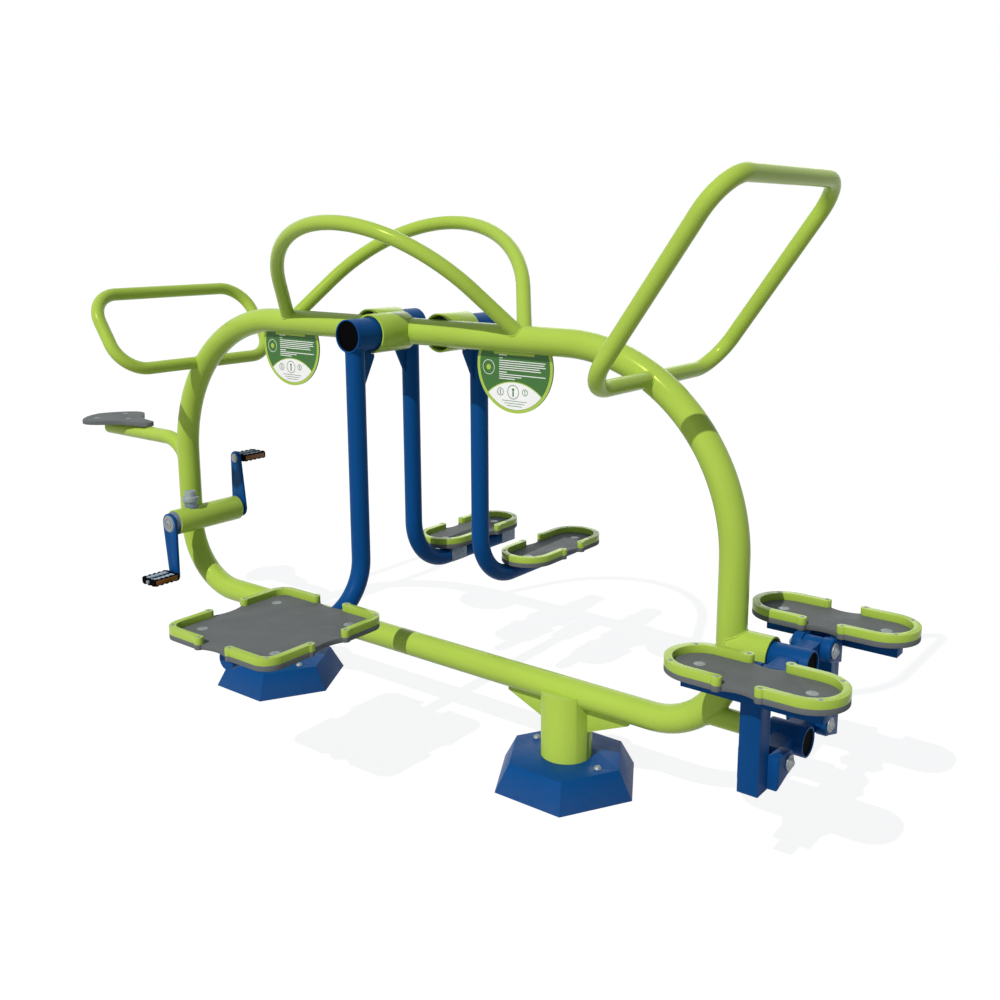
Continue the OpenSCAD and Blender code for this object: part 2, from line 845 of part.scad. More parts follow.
module resistance_knob() {
    low_z = crank_z + crank_od / 2 + knob_boss_h;
    stem_len = knob_boss_h + crank_od / 4;
    color(zinc) translate([crank_x, -knob_y, low_z]) {
        translate([0, 0, -stem_len]) cylinder(h = stem_len + knob_skirt_h, d = knob_stem_d);
        cylinder(h = knob_skirt_h, d = knob_d);
        translate([0, 0, knob_skirt_h]) cylinder(h = knob_top_h, d = knob_top_d);
    }
}

// places at the two pedal axes: front arm down, rear arm up
module crank_frame() {
    translate([crank_x, 0, crank_z]) rotate([0, -crank_turn, 0]) children();
}

module crank_arms() {
    flank_x = [crank_arm_r, crank_end_r];
    color(blue) crank_frame() for (k = [0, 1])
        rotate([0, 180 * k, 0])
            mirror([0, 1 - k, 0]) translate([0, crank_arm_y, 0])
                difference() {
                    union() {
                        rod_y(2 * crank_arm_r, crank_arm_t);
                        translate([0, 0, -crank_throw]) rod_y(2 * crank_end_r, crank_arm_t);
                        translate([0, crank_arm_t, 0]) rotate([90, 0, 0])
                            linear_extrude(height = crank_arm_t)
                                polygon([[-flank_x[0], 0], [-flank_x[1], -crank_throw],
                                    [flank_x[1], -crank_throw], [flank_x[0], 0]]);
                    }
                    translate([0, -over, 0]) rod_y(axle_d, crank_arm_t + 2 * over);
                    translate([0, -over, -crank_throw]) rod_y(pedal_pin_d, crank_arm_t + 2 * over);
                }
}

module crank_axle() {
    axle_half = crank_arm_y + crank_arm_t;
    pin_start = crank_arm_y - pin_head_t;
    pin_len = pin_head_t + crank_arm_t + pedal_gap + pedal_len - pin_end;
    color(steel) crank_frame() {
        translate([0, -axle_half, 0]) rod_y(axle_d, 2 * axle_half);
        for (m = [0, 1]) mirror([0, m, 0]) translate([0, axle_half, 0]) {
            rod_y(axle_cap_d, axle_cap_t);
            translate([0, axle_cap_t, 0]) rotate([-90, 0, 0]) dome(axle_d, axle_cap_t);
        }
        translate([0, -pin_start - pin_len, -crank_throw]) rod_y(pedal_pin_d, pin_len);
        translate([0, -pin_start - pin_head_t, -crank_throw]) rod_y(pedal_head_d, pin_head_t);
        translate([0, pin_start, crank_throw]) rod_y(pedal_pin_d, pin_len);
        translate([0, pin_start, crank_throw]) rod_y(pedal_head_d, pin_head_t);
    }
}
// where a pedal's axis lies, with the crank as it stands: k = -1 front and low, 1 rear and high
function pedal_x(k) = crank_x - k * crank_throw * sin(crank_turn);
function pedal_z(k) = crank_z + k * crank_throw * cos(crank_turn);

// a pedal cage: two side rails, end bars and a sleeve on the pin
module pedal(k) {
    start = crank_arm_y + crank_arm_t + pedal_gap;
    rail = pedal_h / 2;
    sleeve_d = pedal_h;
    color(black) translate([pedal_x(k), 0, pedal_z(k)]) mirror([0, k < 0 ? 1 : 0, 0])
        translate([0, start, 0]) difference() {
            union() {
                rod_y(sleeve_d, pedal_len);
                for (s = [-1, 1])
                    translate([s * (pedal_w - rail) / 2 - rail / 2, 0, -pedal_h / 2])
                        cube([rail, pedal_len, pedal_h]);
                for (y = [0, pedal_len - rail])
                    translate([-pedal_w / 2, y, -pedal_h / 2]) cube([pedal_w, rail, pedal_h]);
            }
            translate([0, -over, 0]) rod_y(pedal_pin_d + 2 * run_clear, pedal_len + 2 * over);
        }
}

module pedal_front() { pedal(-1); }
module pedal_rear() { pedal(1); }

// seat

// half of the seat's outline: distance from the nose and half width, as shares of length and half width
seat_shares = [[0, 0], [0.012, 0.11], [0.05, 0.19], [0.12, 0.22], [0.22, 0.26], [0.34, 0.36],
    [0.44, 0.54], [0.54, 0.80], [0.62, 0.95], [0.69, 1], [0.77, 0.95], [0.85, 0.77],
    [0.92, 0.53], [0.97, 0.29], [1, 0]];
// bolts: distance from the nose and offset from the middle, as shares of length and half width
seat_bolt_shares = [[0.42, 0], [0.75, 0.5], [0.75, -0.5]];

module seat_outline() {
    n = len(seat_shares);
    right = [for (i = [0 : n - 1]) [-seat_shares[i][0] * seat_len, -seat_shares[i][1] * seat_w / 2]];
    left = [for (i = [n - 2 : -1 : 1]) [-seat_shares[i][0] * seat_len, seat_shares[i][1] * seat_w / 2]];
    polygon(concat(right, left));
}

module seat_bolt_places() {
    for (p = seat_bolt_shares)
        translate([-seat_nose_x - p[0] * seat_len, p[1] * seat_w / 2, seat_low_z]) children();
}

module seat_plate() {
    color(grey) difference() {
        translate([-seat_nose_x, 0, seat_low_z]) linear_extrude(height = seat_t) seat_outline();
        seat_bolt_places() translate([0, 0, -over]) cylinder(h = seat_t + 2 * over, d = seat_bolt_d);
    }
}

module seat_arm_rod(d) {
    translate([-seat_arm_end, 0, seat_arm_z]) rod_x(d, seat_arm_end - seat_arm_bend_x);
    translate([-seat_arm_bend_x, 0, seat_arm_z - seat_arm_bend_r]) mirror([1, 0, 0])
        rod_arc(seat_arm_bend_r, 90, 90 + seat_arm_angle, d);
}

module seat_arm() {
    bolt_x1 = seat_nose_x + seat_bolt_shares[0][0] * seat_len;
    bolt_x2 = seat_nose_x + seat_bolt_shares[1][0] * seat_len;
    bolt_y = seat_bolt_shares[1][1] * seat_w / 2;
    color(lime) difference() {
        union() {
            difference() {
                seat_arm_rod(seat_arm_od);
                seat_arm_rod(seat_arm_od - 2 * seat_arm_wall);
            }
            translate([-bolt_x2 - seat_bar_w / 2, -seat_bar_w / 2, seat_low_z - seat_mount_t])
                cube([bolt_x2 - bolt_x1 + seat_bar_w, seat_bar_w, seat_mount_t]);
            translate([-bolt_x2 - seat_bar_w / 2, -bolt_y - seat_bar_w / 2, seat_low_z - seat_mount_t])
                cube([seat_bar_w, 2 * bolt_y + seat_bar_w, seat_mount_t]);
        }
        translate([-half_span, 0, frame_low_z + bend_low_r])
            cylinder(h = frame_top_z - frame_low_z - bend_low_r, d = frame_od);
        seat_bolt_places() {
            translate([0, 0, -seat_mount_t - over])
                cylinder(h = seat_mount_t + 2 * over, d = seat_bolt_d);
            translate([0, 0, -seat_mount_t - seat_nut_h])
                cylinder(h = seat_nut_h, d = seat_bolt_d * nut_d_share + over);
        }
    }
}

// pendulums

// hub tube, shaft, webs and leg; dir is -1 for the front and 1 for the back
module pendulum(x, dir, housing_len, leg_z, run_end) {
    hub_start = housing_len - hub_overlap;
    hub_end = housing_len + hub_out;
    leg_y = hub_end - leg_r;
    hub_id = hub_od - 2 * hub_wall;
    shaft_start = bearing_in_y - slide;
    web_out = hub_end - plug_inset - plug_t - web_t;
    drop = frame_top_z - leg_z - leg_bend_r;
    color(blue) translate([x, 0, 0]) mirror([0, dir < 0 ? 1 : 0, 0]) {
        translate([0, 0, frame_top_z]) {
            translate([0, hub_start, 0]) ring_y(hub_od, hub_id, hub_end - hub_start);
            translate([0, shaft_start, 0]) rod_y(shaft_d, web_out - shaft_start);
            for (y = [hub_start, web_out])
                translate([0, y, 0]) rod_y(hub_id, web_t);
        }
        difference() {
            leg_rod(leg_od, drop, leg_y, leg_z, run_end);
            leg_rod(leg_od - 2 * leg_wall, drop, leg_y, leg_z, run_end);
            translate([0, hub_start, frame_top_z]) rod_y(hub_id, hub_end - hub_start);
        }
        translate([0, run_end - leg_wall, leg_z]) rod_y(leg_od, leg_wall);
        translate([-stiffener_t / 2, 0, 0]) stiffener(housing_len, leg_y);
    }
}

// the leg's path: down, round and out; the mirror in pendulum() gives the front one
module leg_rod(d, drop, leg_y, leg_z, run_end) {
    translate([0, leg_y, leg_z + leg_bend_r]) cylinder(h = drop, d = d);
    translate([0, leg_y + leg_bend_r, leg_z + leg_bend_r])
        rotate([0, 0, 90]) rod_arc(leg_bend_r, 180, 270, d);
    translate([0, leg_y + leg_bend_r, leg_z]) rod_y(d, run_end - leg_y - leg_bend_r);
}

module stiffener(housing_len, leg_y) {
    leg_in = leg_y - leg_r + leg_wall / 2;
    hub_low = frame_top_z - hub_od / 2 + hub_wall / 2;
    lip = frame_top_z - housing_od / 2 - stiffener_gap;
    rotate([90, 0, 90]) linear_extrude(height = stiffener_t)
        polygon([[housing_len + stiffener_gap, hub_low], [leg_in, hub_low], [leg_in, hub_low - stiffener_h],
            [housing_len - stiffener_reach, lip - stiffener_lip],
            [housing_len - stiffener_reach, lip], [housing_len + stiffener_gap, lip]]);
}

module cap(x, dir, housing_len) {
    hub_id = hub_od - 2 * hub_wall;
    color(black) translate([x, 0, frame_top_z]) mirror([0, dir < 0 ? 1 : 0, 0])
        translate([0, housing_len + hub_out - plug_inset - plug_t, 0]) rod_y(hub_id, plug_t);
}

module surf_pendulum() {
    bar_len = 2 * surf_bolt_x + surf_bar_w;
    pendulum(surf_x, -1, surf_housing_len, surf_leg_z, surf_run_end);
    color(blue) difference() {
        for (s = [-1, 1])
            translate([surf_board_x - bar_len / 2, -surf_y + s * surf_bolt_y - surf_bar_w / 2,
                surf_board_z - surf_bar_t])
                cube([bar_len, surf_bar_w, surf_bar_t]);
        translate([surf_x, -surf_run_end, surf_leg_z]) rod_y(leg_od - leg_wall, surf_run_end);
        surf_big_bolts() translate([0, 0, -surf_bar_t - over])
            cylinder(h = surf_bar_t + 2 * over, d = big_d);
    }
}

module surf_cap() { cap(surf_x, -1, surf_housing_len); }
module walk_pendulum(x) { pendulum(x, 1, walk_housing_len, walk_leg_z, walk_run_end); }
module walk_left_pendulum() { walk_pendulum(hub_left_x); }
module walk_right_pendulum() { walk_pendulum(hub_right_x); }
module walk_left_cap() { cap(hub_left_x, 1, walk_housing_len); }
module walk_right_cap() { cap(hub_right_x, 1, walk_housing_len); }

// angle brackets that carry a swinging foot plate beside its leg: a flat over the leg and
// a flange down the leg's far side
module walk_clamps(leg_x, plate_x) {
    low = walk_leg_z - clamp_drop;
    away = leg_x > plate_x ? 1 : -1;
    edge_leg = leg_x + away * (leg_r + clamp_wall);
    edge_plate = plate_x - away * big_head_d;
    x0 = min(edge_leg, edge_plate);
    x1 = max(edge_leg, edge_plate);
    flange_x = min(leg_x, edge_leg);
    color(zinc) for (s = [-1, 1])
        translate([0, walk_y + s * plate_bolt - clamp_len / 2, 0]) difference() {
            union() {
                translate([x0, 0, walk_board_z - clamp_t]) cube([x1 - x0, clamp_len, clamp_t]);
                translate([flange_x, 0, low])
                    cube([leg_r + clamp_wall, clamp_len, walk_board_z - low]);
            }
            translate([leg_x, -over, walk_leg_z]) rod_y(leg_od, clamp_len + 2 * over);
            translate([leg_x - leg_r, -over, low - over])
                cube([leg_od, clamp_len + 2 * over, clamp_drop + over]);
            translate([plate_x, clamp_len / 2, low - over])
                cylinder(h = walk_board_z - low + 2 * over, d = big_d);
        }
}

module walk_left_clamps() { walk_clamps(hub_left_x, plate_left_x); }
module walk_right_clamps() { walk_clamps(hub_right_x, plate_right_x); }

// boards and rims

// outline of a foot plate, long along X, with a waist on each side and a bulge under each boss
module plate_outline() {
    waist_r = (rim_end * rim_end + waist_depth * waist_depth) / (2 * waist_depth);
    difference() {
        stadium(plate_r);
        for (s = [-1, 1])
            translate([0, s * (plate_r - waist_depth + waist_r)]) circle(r = waist_r, $fn = 128);
    }
    for (sx = [-1, 1], sy = [-1, 1])
        translate([sx * rim_end, sy * boss_y]) circle(r = boss_r);
}

module stadium(r) {
    for (s = [-1, 1]) translate([s * plate_straight, 0]) circle(r = r, $fn = 128);
    translate([-plate_straight, -r]) square([2 * plate_straight, 2 * r]);
}

module plate_rims_outline() {
    difference() {
        stadium(plate_r);
        stadium(plate_r - rim_w);
        translate([-rim_end, -plate_w]) square([2 * rim_end, 2 * plate_w]);
    }
    for (sx = [-1, 1], sy = [-1, 1])
        translate([sx * rim_end, sy * boss_y]) circle(r = boss_r);
}

// places of the two big bolts and of the eight rim bolts on a foot plate
module plate_big_bolts() {
    for (s = [-1, 1]) translate([s * plate_bolt, 0, 0]) children();
}

module plate_rim_bolts() {
    mid_r = plate_r - rim_w / 2;
    for (sx = [-1, 1], sy = [-1, 1]) {
        translate([sx * rim_end, sy * boss_y, 0]) children();
        translate([sx * (plate_straight + mid_r * cos(rim_bolt_angle)), sy * mid_r * sin(rim_bolt_angle), 0])
            children();
    }
}

// a board, its rims or its bolts, with the underside of the board on Z = 0
module plate_board() {
    color(grey) difference() {
        linear_extrude(height = board_t) plate_outline();
        plate_big_bolts() translate([0, 0, -over]) cylinder(h = board_t + 2 * over, d = big_d);
        plate_rim_bolts() translate([0, 0, -over]) cylinder(h = board_t + 2 * over, d = rim_bolt_d);
    }
}

module plate_rims() {
    color(lime) translate([0, 0, board_t]) difference() {
        linear_extrude(height = rim_h) plate_rims_outline();
        plate_rim_bolts() translate([0, 0, -over]) cylinder(h = rim_h + 2 * over, d = rim_bolt_d);
    }
}

module bolt(head_d, head_h, d, len) {
    dome(head_d, head_h);
    translate([0, 0, -len]) cylinder(h = len, d = d);
}

// a big bolt that also clamps a piece of thickness grip under the board
module big_bolt(grip) {
    nut_h = big_d * nut_h_share;
    translate([0, 0, board_t]) bolt(big_head_d, big_head_h, big_d, board_t + grip + nut_h);
    translate([0, 0, -grip - nut_h]) cylinder(h = nut_h, d = big_d * nut_d_share, $fn = 6);
}

module plate_bolts(grip) {
    color(steel) {
        plate_big_bolts() big_bolt(grip);
        plate_rim_bolts() translate([0, 0, board_t + rim_h])
            bolt(rim_head_d, rim_head_h, rim_bolt_d, rim_h + board_t);
    }
}

module at_walk(x) {
    translate([x, walk_y, walk_board_z]) rotate([0, 0, 90]) children();
}

module walk_left_board() { at_walk(plate_left_x) plate_board(); }
module walk_left_rims() { at_walk(plate_left_x) plate_rims(); }
module walk_left_bolts() { at_walk(plate_left_x) plate_bolts(clamp_t); }
module walk_right_board() { at_walk(plate_right_x) plate_board(); }
module walk_right_rims() { at_walk(plate_right_x) plate_rims(); }
module walk_right_bolts() { at_walk(plate_right_x) plate_bolts(clamp_t); }

// the square balance board
module round_square(side, corner) {
    inner = side / 2 - corner;
    for (sx = [-1, 1], sy = [-1, 1])
        translate([sx * inner, sy * inner]) circle(r = corner, $fn = 96);
    translate([-side / 2, -inner]) square([side, 2 * inner]);
    translate([-inner, -side / 2]) square([2 * inner, side]);
}

module surf_outline() {
    waist_r = (surf_rim_end * surf_rim_end + waist_depth * waist_depth) / (2 * waist_depth);
    difference() {
        round_square(surf_side, surf_corner_r);
        for (k = [0 : 3])
            rotate([0, 0, 90 * k])
                translate([surf_side / 2 - waist_depth + waist_r, 0]) circle(r = waist_r, $fn = 160);
    }
    surf_boss_places() circle(r = boss_r);
}

module surf_boss_places() {
    for (k = [0 : 3], s = [-1, 1])
        rotate([0, 0, 90 * k]) translate([surf_boss, s * surf_rim_end]) children();
}

module surf_rims_outline() {
    difference() {
        round_square(surf_side, surf_corner_r);
        round_square(surf_side - 2 * rim_w, surf_corner_r - rim_w);
        translate([-surf_side, -surf_rim_end]) square([2 * surf_side, 2 * surf_rim_end]);
        translate([-surf_rim_end, -surf_side]) square([2 * surf_rim_end, 2 * surf_side]);
    }
    surf_boss_places() circle(r = boss_r);
}

module at_surf() {
    translate([surf_board_x, -surf_y, surf_board_z]) children();
}

module surf_big_bolts() {
    for (sx = [-1, 1], sy = [-1, 1])
        at_surf() translate([sx * surf_bolt_x, sy * surf_bolt_y, 0]) children();
}

module surf_rim_bolts() {
    inner = surf_side / 2 - surf_corner_r;
    corner = inner + (surf_corner_r - rim_w / 2) * cos(45);
    at_surf() surf_boss_places() children();
    for (k = [0 : 3])
        at_surf() rotate([0, 0, 90 * k]) translate([corner, corner, 0]) children();
}

module surf_board() {
    color(grey) difference() {
        at_surf() linear_extrude(height = board_t) surf_outline();
        surf_big_bolts() translate([0, 0, -over]) cylinder(h = board_t + 2 * over, d = big_d);
        surf_rim_bolts() translate([0, 0, -over]) cylinder(h = board_t + 2 * over, d = rim_bolt_d);
    }
}

module surf_rims() {
    color(lime) difference() {
        at_surf() translate([0, 0, board_t]) linear_extrude(height = rim_h) surf_rims_outline();
        surf_rim_bolts() translate([0, 0, board_t - over])
            cylinder(h = rim_h + 2 * over, d = rim_bolt_d);
    }
}

module surf_bolts() {
    color(steel) {
        surf_big_bolts() big_bolt(surf_bar_t);
        surf_rim_bolts() translate([0, 0, board_t + rim_h])
            bolt(rim_head_d, rim_head_h, rim_bolt_d, rim_h + board_t);
    }
}

// stepper

module stepper_stubs() {
    color(lime) difference() {
        union() {
            translate([half_span, 0, step_top_z])
                ring_x(step_housing_od, step_housing_od - 2 * step_housing_wall,
                    step_housing_end - half_span);
            translate([stub_start, 0, step_low_z])
                ring_x(step_stub_od, step_stub_od - 2 * step_stub_wall, stub_end - stub_start);
        }
        side_rod(1, frame_od);
    }
}
// both rockers: a hub and two arms with eyes; the solid, before the inside is cut
module rocker_arms(z) {
    arm_x = carrier_post_x - rocker_arm_w / 2;
    translate([arm_x, -rocker_arm, z - rocker_arm_h / 2])
        cube([rocker_arm_w, 2 * rocker_arm, rocker_arm_h]);
    for (s = [-1, 1])
        translate([arm_x, s * rocker_arm, z]) rod_x(2 * rocker_eye_r, rocker_arm_w);
}

module rocker_bores(z) {
    arm_x = carrier_post_x - rocker_arm_w / 2;
    for (s = [-1, 1])
        translate([arm_x - over, s * rocker_arm, z]) rod_x(pin_d, rocker_arm_w + 2 * over);
}

module upper_rocker() {
    rocker_id = rocker_od - 2 * rocker_wall;
    inside = step_housing_end - rocker_in;
    web_x = rocker_end - plug_inset - plug_t - web_t;
    color(blue) {
        difference() {
            union() {
                translate([inside, 0, step_top_z]) rod_x(rocker_od, rocker_end - inside);
                rocker_arms(step_top_z);
            }
            translate([inside - over, 0, step_top_z]) rod_x(rocker_id, rocker_end - inside + 2 * over);
            rocker_bores(step_top_z);
        }
        translate([step_bearing_x1 - slide, 0, step_top_z])
            rod_x(shaft_d, web_x - step_bearing_x1 + slide);
        for (x = [inside, web_x]) translate([x, 0, step_top_z]) rod_x(rocker_id, web_t);
    }
}

module lower_rocker() {
    rocker_id = rocker_od - 2 * rocker_wall;
    web_x = rocker_end - plug_inset - plug_t - web_t;
    color(blue) {
        difference() {
            union() {
                translate([rocker_start, 0, step_low_z]) rod_x(rocker_od, rocker_end - rocker_start);
                rocker_arms(step_low_z);
            }
            translate([rocker_start - over, 0, step_low_z])
                rod_x(rocker_id, rocker_end - rocker_start + 2 * over);
            rocker_bores(step_low_z);
        }
        translate([web_x, 0, step_low_z]) rod_x(rocker_id, web_t);
    }
}

module rocker_cap(z) {
    color(black) translate([rocker_end - plug_inset - plug_t, 0, z])
        rod_x(rocker_od - 2 * rocker_wall, plug_t);
}

module upper_cap() { rocker_cap(step_top_z); }
module lower_cap() { rocker_cap(step_low_z); }

// a pair of pins with washers and domed heads
module pins(z) {
    half = carrier_post / 2 + cheek_t + slide;
    color(steel) for (s = [-1, 1])
        translate([carrier_post_x, s * rocker_arm, z]) {
            translate([-half, 0, 0]) rod_x(pin_d, 2 * half);
            for (m = [0, 1]) mirror([m, 0, 0]) translate([half, 0, 0]) {
                rod_x(pin_head_d, pin_washer_t);
                translate([pin_washer_t, 0, 0]) rotate([0, 90, 0]) dome(pin_dome_d, pin_dome_h);
            }
        }
}

module upper_pins() { pins(step_top_z); }
module lower_pins() { pins(step_low_z); }

// beam, post and two pairs of cheeks under a pedal plate; side is -1 front, 1 rear
module cheek_pair(z, high, clear) {
    reach = carrier_post_y - carrier_post / 2 - rocker_arm + cheek_lap;
    for (m = [0, 1])
        translate([carrier_post_x, 0, 0]) mirror([m, 0, 0]) translate([carrier_post / 2, 0, 0])
            difference() {
                union() {
                    translate([0, rocker_arm, z]) rod_x(2 * cheek_r, cheek_t);
                    translate([0, rocker_arm, z]) rotate([90, 0, 90])
                        linear_extrude(height = cheek_t)
                            polygon([[0, -cheek_r], [reach, -cheek_low], [reach, high],
                                [0, min(cheek_r, high)]]);
                }
                translate([-over, rocker_arm, z]) rod_x(pin_d + 2 * clear, cheek_t + 2 * over);
            }
}

module carrier(side) {
    beam_z = step_board_low - carrier_beam;
    beam_x = step_x - carrier_beam_len / 2;
    color(blue) mirror([0, side < 0 ? 1 : 0, 0]) {
        difference() {
            union() {
                translate([beam_x, step_y - carrier_beam / 2, beam_z])
                    cube([carrier_beam_len, carrier_beam, carrier_beam]);
                translate([carrier_post_x - carrier_post / 2, carrier_post_y - carrier_post / 2,
                    carrier_post_z])
                    cube([carrier_post, carrier_post, beam_z - carrier_post_z]);
            }
            translate([beam_x + carrier_wall, step_y - carrier_beam / 2 + carrier_wall,
                beam_z + carrier_wall])
                cube([carrier_beam_len - 2 * carrier_wall, carrier_beam - 2 * carrier_wall,
                    carrier_beam - 2 * carrier_wall]);
            translate([carrier_post_x - carrier_post / 2 + carrier_wall,
                carrier_post_y - carrier_post / 2 + carrier_wall, carrier_post_z + carrier_wall])
                cube([carrier_post - 2 * carrier_wall, carrier_post - 2 * carrier_wall,
                    beam_z - carrier_post_z - 2 * carrier_wall]);
            translate([carrier_post_x, (step_y + carrier_post_y) / 2, beam_z - 2 * carrier_wall])
                cylinder(h = 4 * carrier_wall, d = vent_d);
            translate([step_x, step_y, step_board_low]) plate_big_bolts()
                translate([0, 0, -2 * carrier_wall]) cylinder(h = 3 * carrier_wall, d = big_d);
        }
        cheek_pair(step_top_z, cheek_high_top, run_clear);
        cheek_pair(step_low_z, cheek_high_low, open_clear);
    }
}

module front_carrier() { carrier(-1); }
module rear_carrier() { carrier(1); }

module at_step(side) {
    translate([step_x, side * step_y, step_board_low]) children();
}

module front_board() { at_step(-1) plate_board(); }
module front_rims() { at_step(-1) plate_rims(); }
module front_bolts() { at_step(-1) plate_bolts(carrier_wall); }
module rear_board() { at_step(1) plate_board(); }
module rear_rims() { at_step(1) plate_rims(); }
module rear_bolts() { at_step(1) plate_bolts(carrier_wall); }

translate(origin_shift) {
    bottom_tube();
    top_beam();
    side_left();
    side_right();
    post_left();
    post_right();
    cover_left();
    cover_right();
    frame_bolts();
    handle_left();
    handle_right();
    arch_front();
    arch_back();
    sign_left();
    sign_right();
    surf_housing();
    walk_housings();
    bearings();
    crank_housing();
    seat_arm();
    seat_plate();
    stepper_stubs();
    resistance_knob();
    surf_pendulum();
    surf_cap();
    surf_board();
    surf_rims();
    surf_bolts();
    walk_left_pendulum();
    walk_left_cap();
    walk_left_clamps();
    walk_left_board();
    walk_left_rims();
    walk_left_bolts();
    walk_right_pendulum();
    walk_right_cap();
    walk_right_clamps();
    walk_right_board();
    walk_right_rims();
    walk_right_bolts();
    crank_axle();
    crank_arms();
    pedal_front();
    pedal_rear();
    upper_rocker();
    upper_cap();
    upper_pins();
    lower_rocker();
    lower_cap();
    lower_pins();
    front_carrier();
    front_board();
    front_rims();
    front_bolts();
    rear_carrier();
    rear_board();
    rear_rims();
    rear_bolts();
}
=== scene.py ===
"""Outdoor fitness station: finishes, rounded edges, bolts, pedals, sign faces and welds."""

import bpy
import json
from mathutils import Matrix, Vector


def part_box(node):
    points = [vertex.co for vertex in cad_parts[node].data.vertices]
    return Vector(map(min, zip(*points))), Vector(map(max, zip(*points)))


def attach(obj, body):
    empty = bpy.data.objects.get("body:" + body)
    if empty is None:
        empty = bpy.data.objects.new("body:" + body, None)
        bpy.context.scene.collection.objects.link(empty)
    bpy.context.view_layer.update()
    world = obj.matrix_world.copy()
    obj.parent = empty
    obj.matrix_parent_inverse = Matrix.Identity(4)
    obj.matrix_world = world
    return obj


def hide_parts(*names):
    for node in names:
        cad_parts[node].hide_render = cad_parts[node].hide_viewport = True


bl_info = {
    "name": "Outdoor fitness station",
    "version": (1, 0, 0),
    "blender": (4, 5, 0),
    "location": "View3D > Sidebar > Station",
    "description": "Dresses the packed frame of an outdoor fitness station",
    "category": "Object",
}

import json
from math import cos, hypot, pi, radians, sin

import bpy
from bpy.props import FloatProperty, FloatVectorProperty, IntProperty, PointerProperty
from bpy.types import Operator, Panel, PropertyGroup
from mathutils import Vector

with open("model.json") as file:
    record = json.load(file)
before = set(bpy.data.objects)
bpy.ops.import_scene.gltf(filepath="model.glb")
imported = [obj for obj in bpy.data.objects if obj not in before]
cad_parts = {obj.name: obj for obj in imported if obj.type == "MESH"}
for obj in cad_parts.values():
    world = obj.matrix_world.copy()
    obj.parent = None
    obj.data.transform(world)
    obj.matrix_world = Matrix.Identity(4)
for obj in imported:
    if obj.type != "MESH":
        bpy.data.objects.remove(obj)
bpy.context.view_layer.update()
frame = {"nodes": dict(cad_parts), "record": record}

MM = 0.001
SLOTS = {part["node"]: part["material_slot"] for part in frame["record"]["subparts"]}


def middle(node_name):
    low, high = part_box(node_name)
    return (low + high) / 2


def span(node_name, axis):
    """How far a node reaches along the axis "x", "y" or "z"."""
    low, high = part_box(node_name)
    return getattr(high, axis) - getattr(low, axis)


# the station's own zero: between the uprights, in the frame's plane, on the ground
HOME = Vector((middle("top_beam").x, middle("top_beam").y, 0.0))


def at(x, y, z):
    """A place given in millimetres from the station's own zero."""
    return HOME + Vector((x, y, z)) * MM


# Sizes and colours


class StationColours(PropertyGroup):
    lime: FloatVectorProperty(
        name="Lime coat", description="Powder coat of the frame",
        subtype="COLOR", default=(0.41, 0.575, 0.078),
    )
    blue: FloatVectorProperty(
        name="Blue coat", description="Powder coat of the moving parts",
        subtype="COLOR", default=(0.003, 0.066, 0.235),
    )
    board: FloatVectorProperty(
        name="Board grey", description="Grained boards and seat",
        subtype="COLOR", default=(0.138, 0.148, 0.147),
    )
    sign: FloatVectorProperty(
        name="Sign green", description="Ground of the sign discs",
        subtype="COLOR", default=(0.050, 0.165, 0.035),
    )
    amber: FloatVectorProperty(
        name="Amber", description="Pedal reflectors",
        subtype="COLOR", default=(0.24, 0.075, 0.006),
    )


class StationSizes(PropertyGroup):
    edge: FloatProperty(
        name="Edge radius", description="Rounding of plates and castings",
        unit="LENGTH", default=0.0015, min=0.0003, max=0.004,
    )
    soft_edge: FloatProperty(
        name="Rim radius", description="Rounding of the rims on the boards",
        unit="LENGTH", default=0.004, min=0.001, max=0.008,
    )
    bead: FloatProperty(
        name="Weld bead", description="Radius of the weld beads",
        unit="LENGTH", default=0.0028, min=0.001, max=0.005,
    )
    dimple: FloatProperty(
        name="Bolt dimple", description="Width of the hole in the middle of a big bolt",
        unit="LENGTH", default=0.005, min=0.003, max=0.012,
    )
    tube_edge: FloatProperty(
        name="Tube end radius", description="Rounding of the ends of the wide housings",
        unit="LENGTH", default=0.003, min=0.001, max=0.004,
    )
    cheek: FloatProperty(
        name="Cheek radius", description="Rounding of the cheeks that hold the pins",
        unit="LENGTH", default=0.006, min=0.002, max=0.009,
    )
    lobes: IntProperty(
        name="Pedal lobes", description="Lobes along each side of a pedal",
        default=5, min=3, max=9,
    )
    print_depth: FloatProperty(
        name="Print depth", description="Thickness of the sign's printed shapes",
        unit="LENGTH", default=0.0004, min=0.0001, max=0.001,
    )


# Sizes of the frame


MAIN_R = span("top_beam", "z") / 2
BEAM_Z = middle("top_beam").z
LOW_Z = middle("bottom_tube").z
HALF_SPAN = 1250 * MM
BEND_TOP = HALF_SPAN - span("top_beam", "x") / 2
BEND_LOW = HALF_SPAN - span("bottom_tube", "x") / 2

LEG_R = 31.75 * MM
HUB_R = 54 * MM
# a hub's cap sits this deep in its end
CAP_INSET = 5 * MM
CAP_TO_END = span("surf_cap", "y") / 2 + CAP_INSET

# tube of the hand loops and the arches
LOOP_R = 24.15 * MM
ARCH_FOOT = 545.9 * MM
ARCH_SPLAY = radians(27)
ARCH_LEAN = radians(40)

SEAT_ARM_R = 30.15 * MM
SEAT_BEND_CENTRE = at(-1391, 0, 770)
SEAT_BEND_R = 138 * MM
SEAT_BEND_SWEEP = radians(72)

STEPPER_HOUSING_FOOT = at(1250, 0, 597)
STEPPER_HOUSING_R = 57.15 * MM
STEPPER_STUB_FOOT = at(1150, 0, 371)
STEPPER_STUB_R = 31.75 * MM


# Finishes


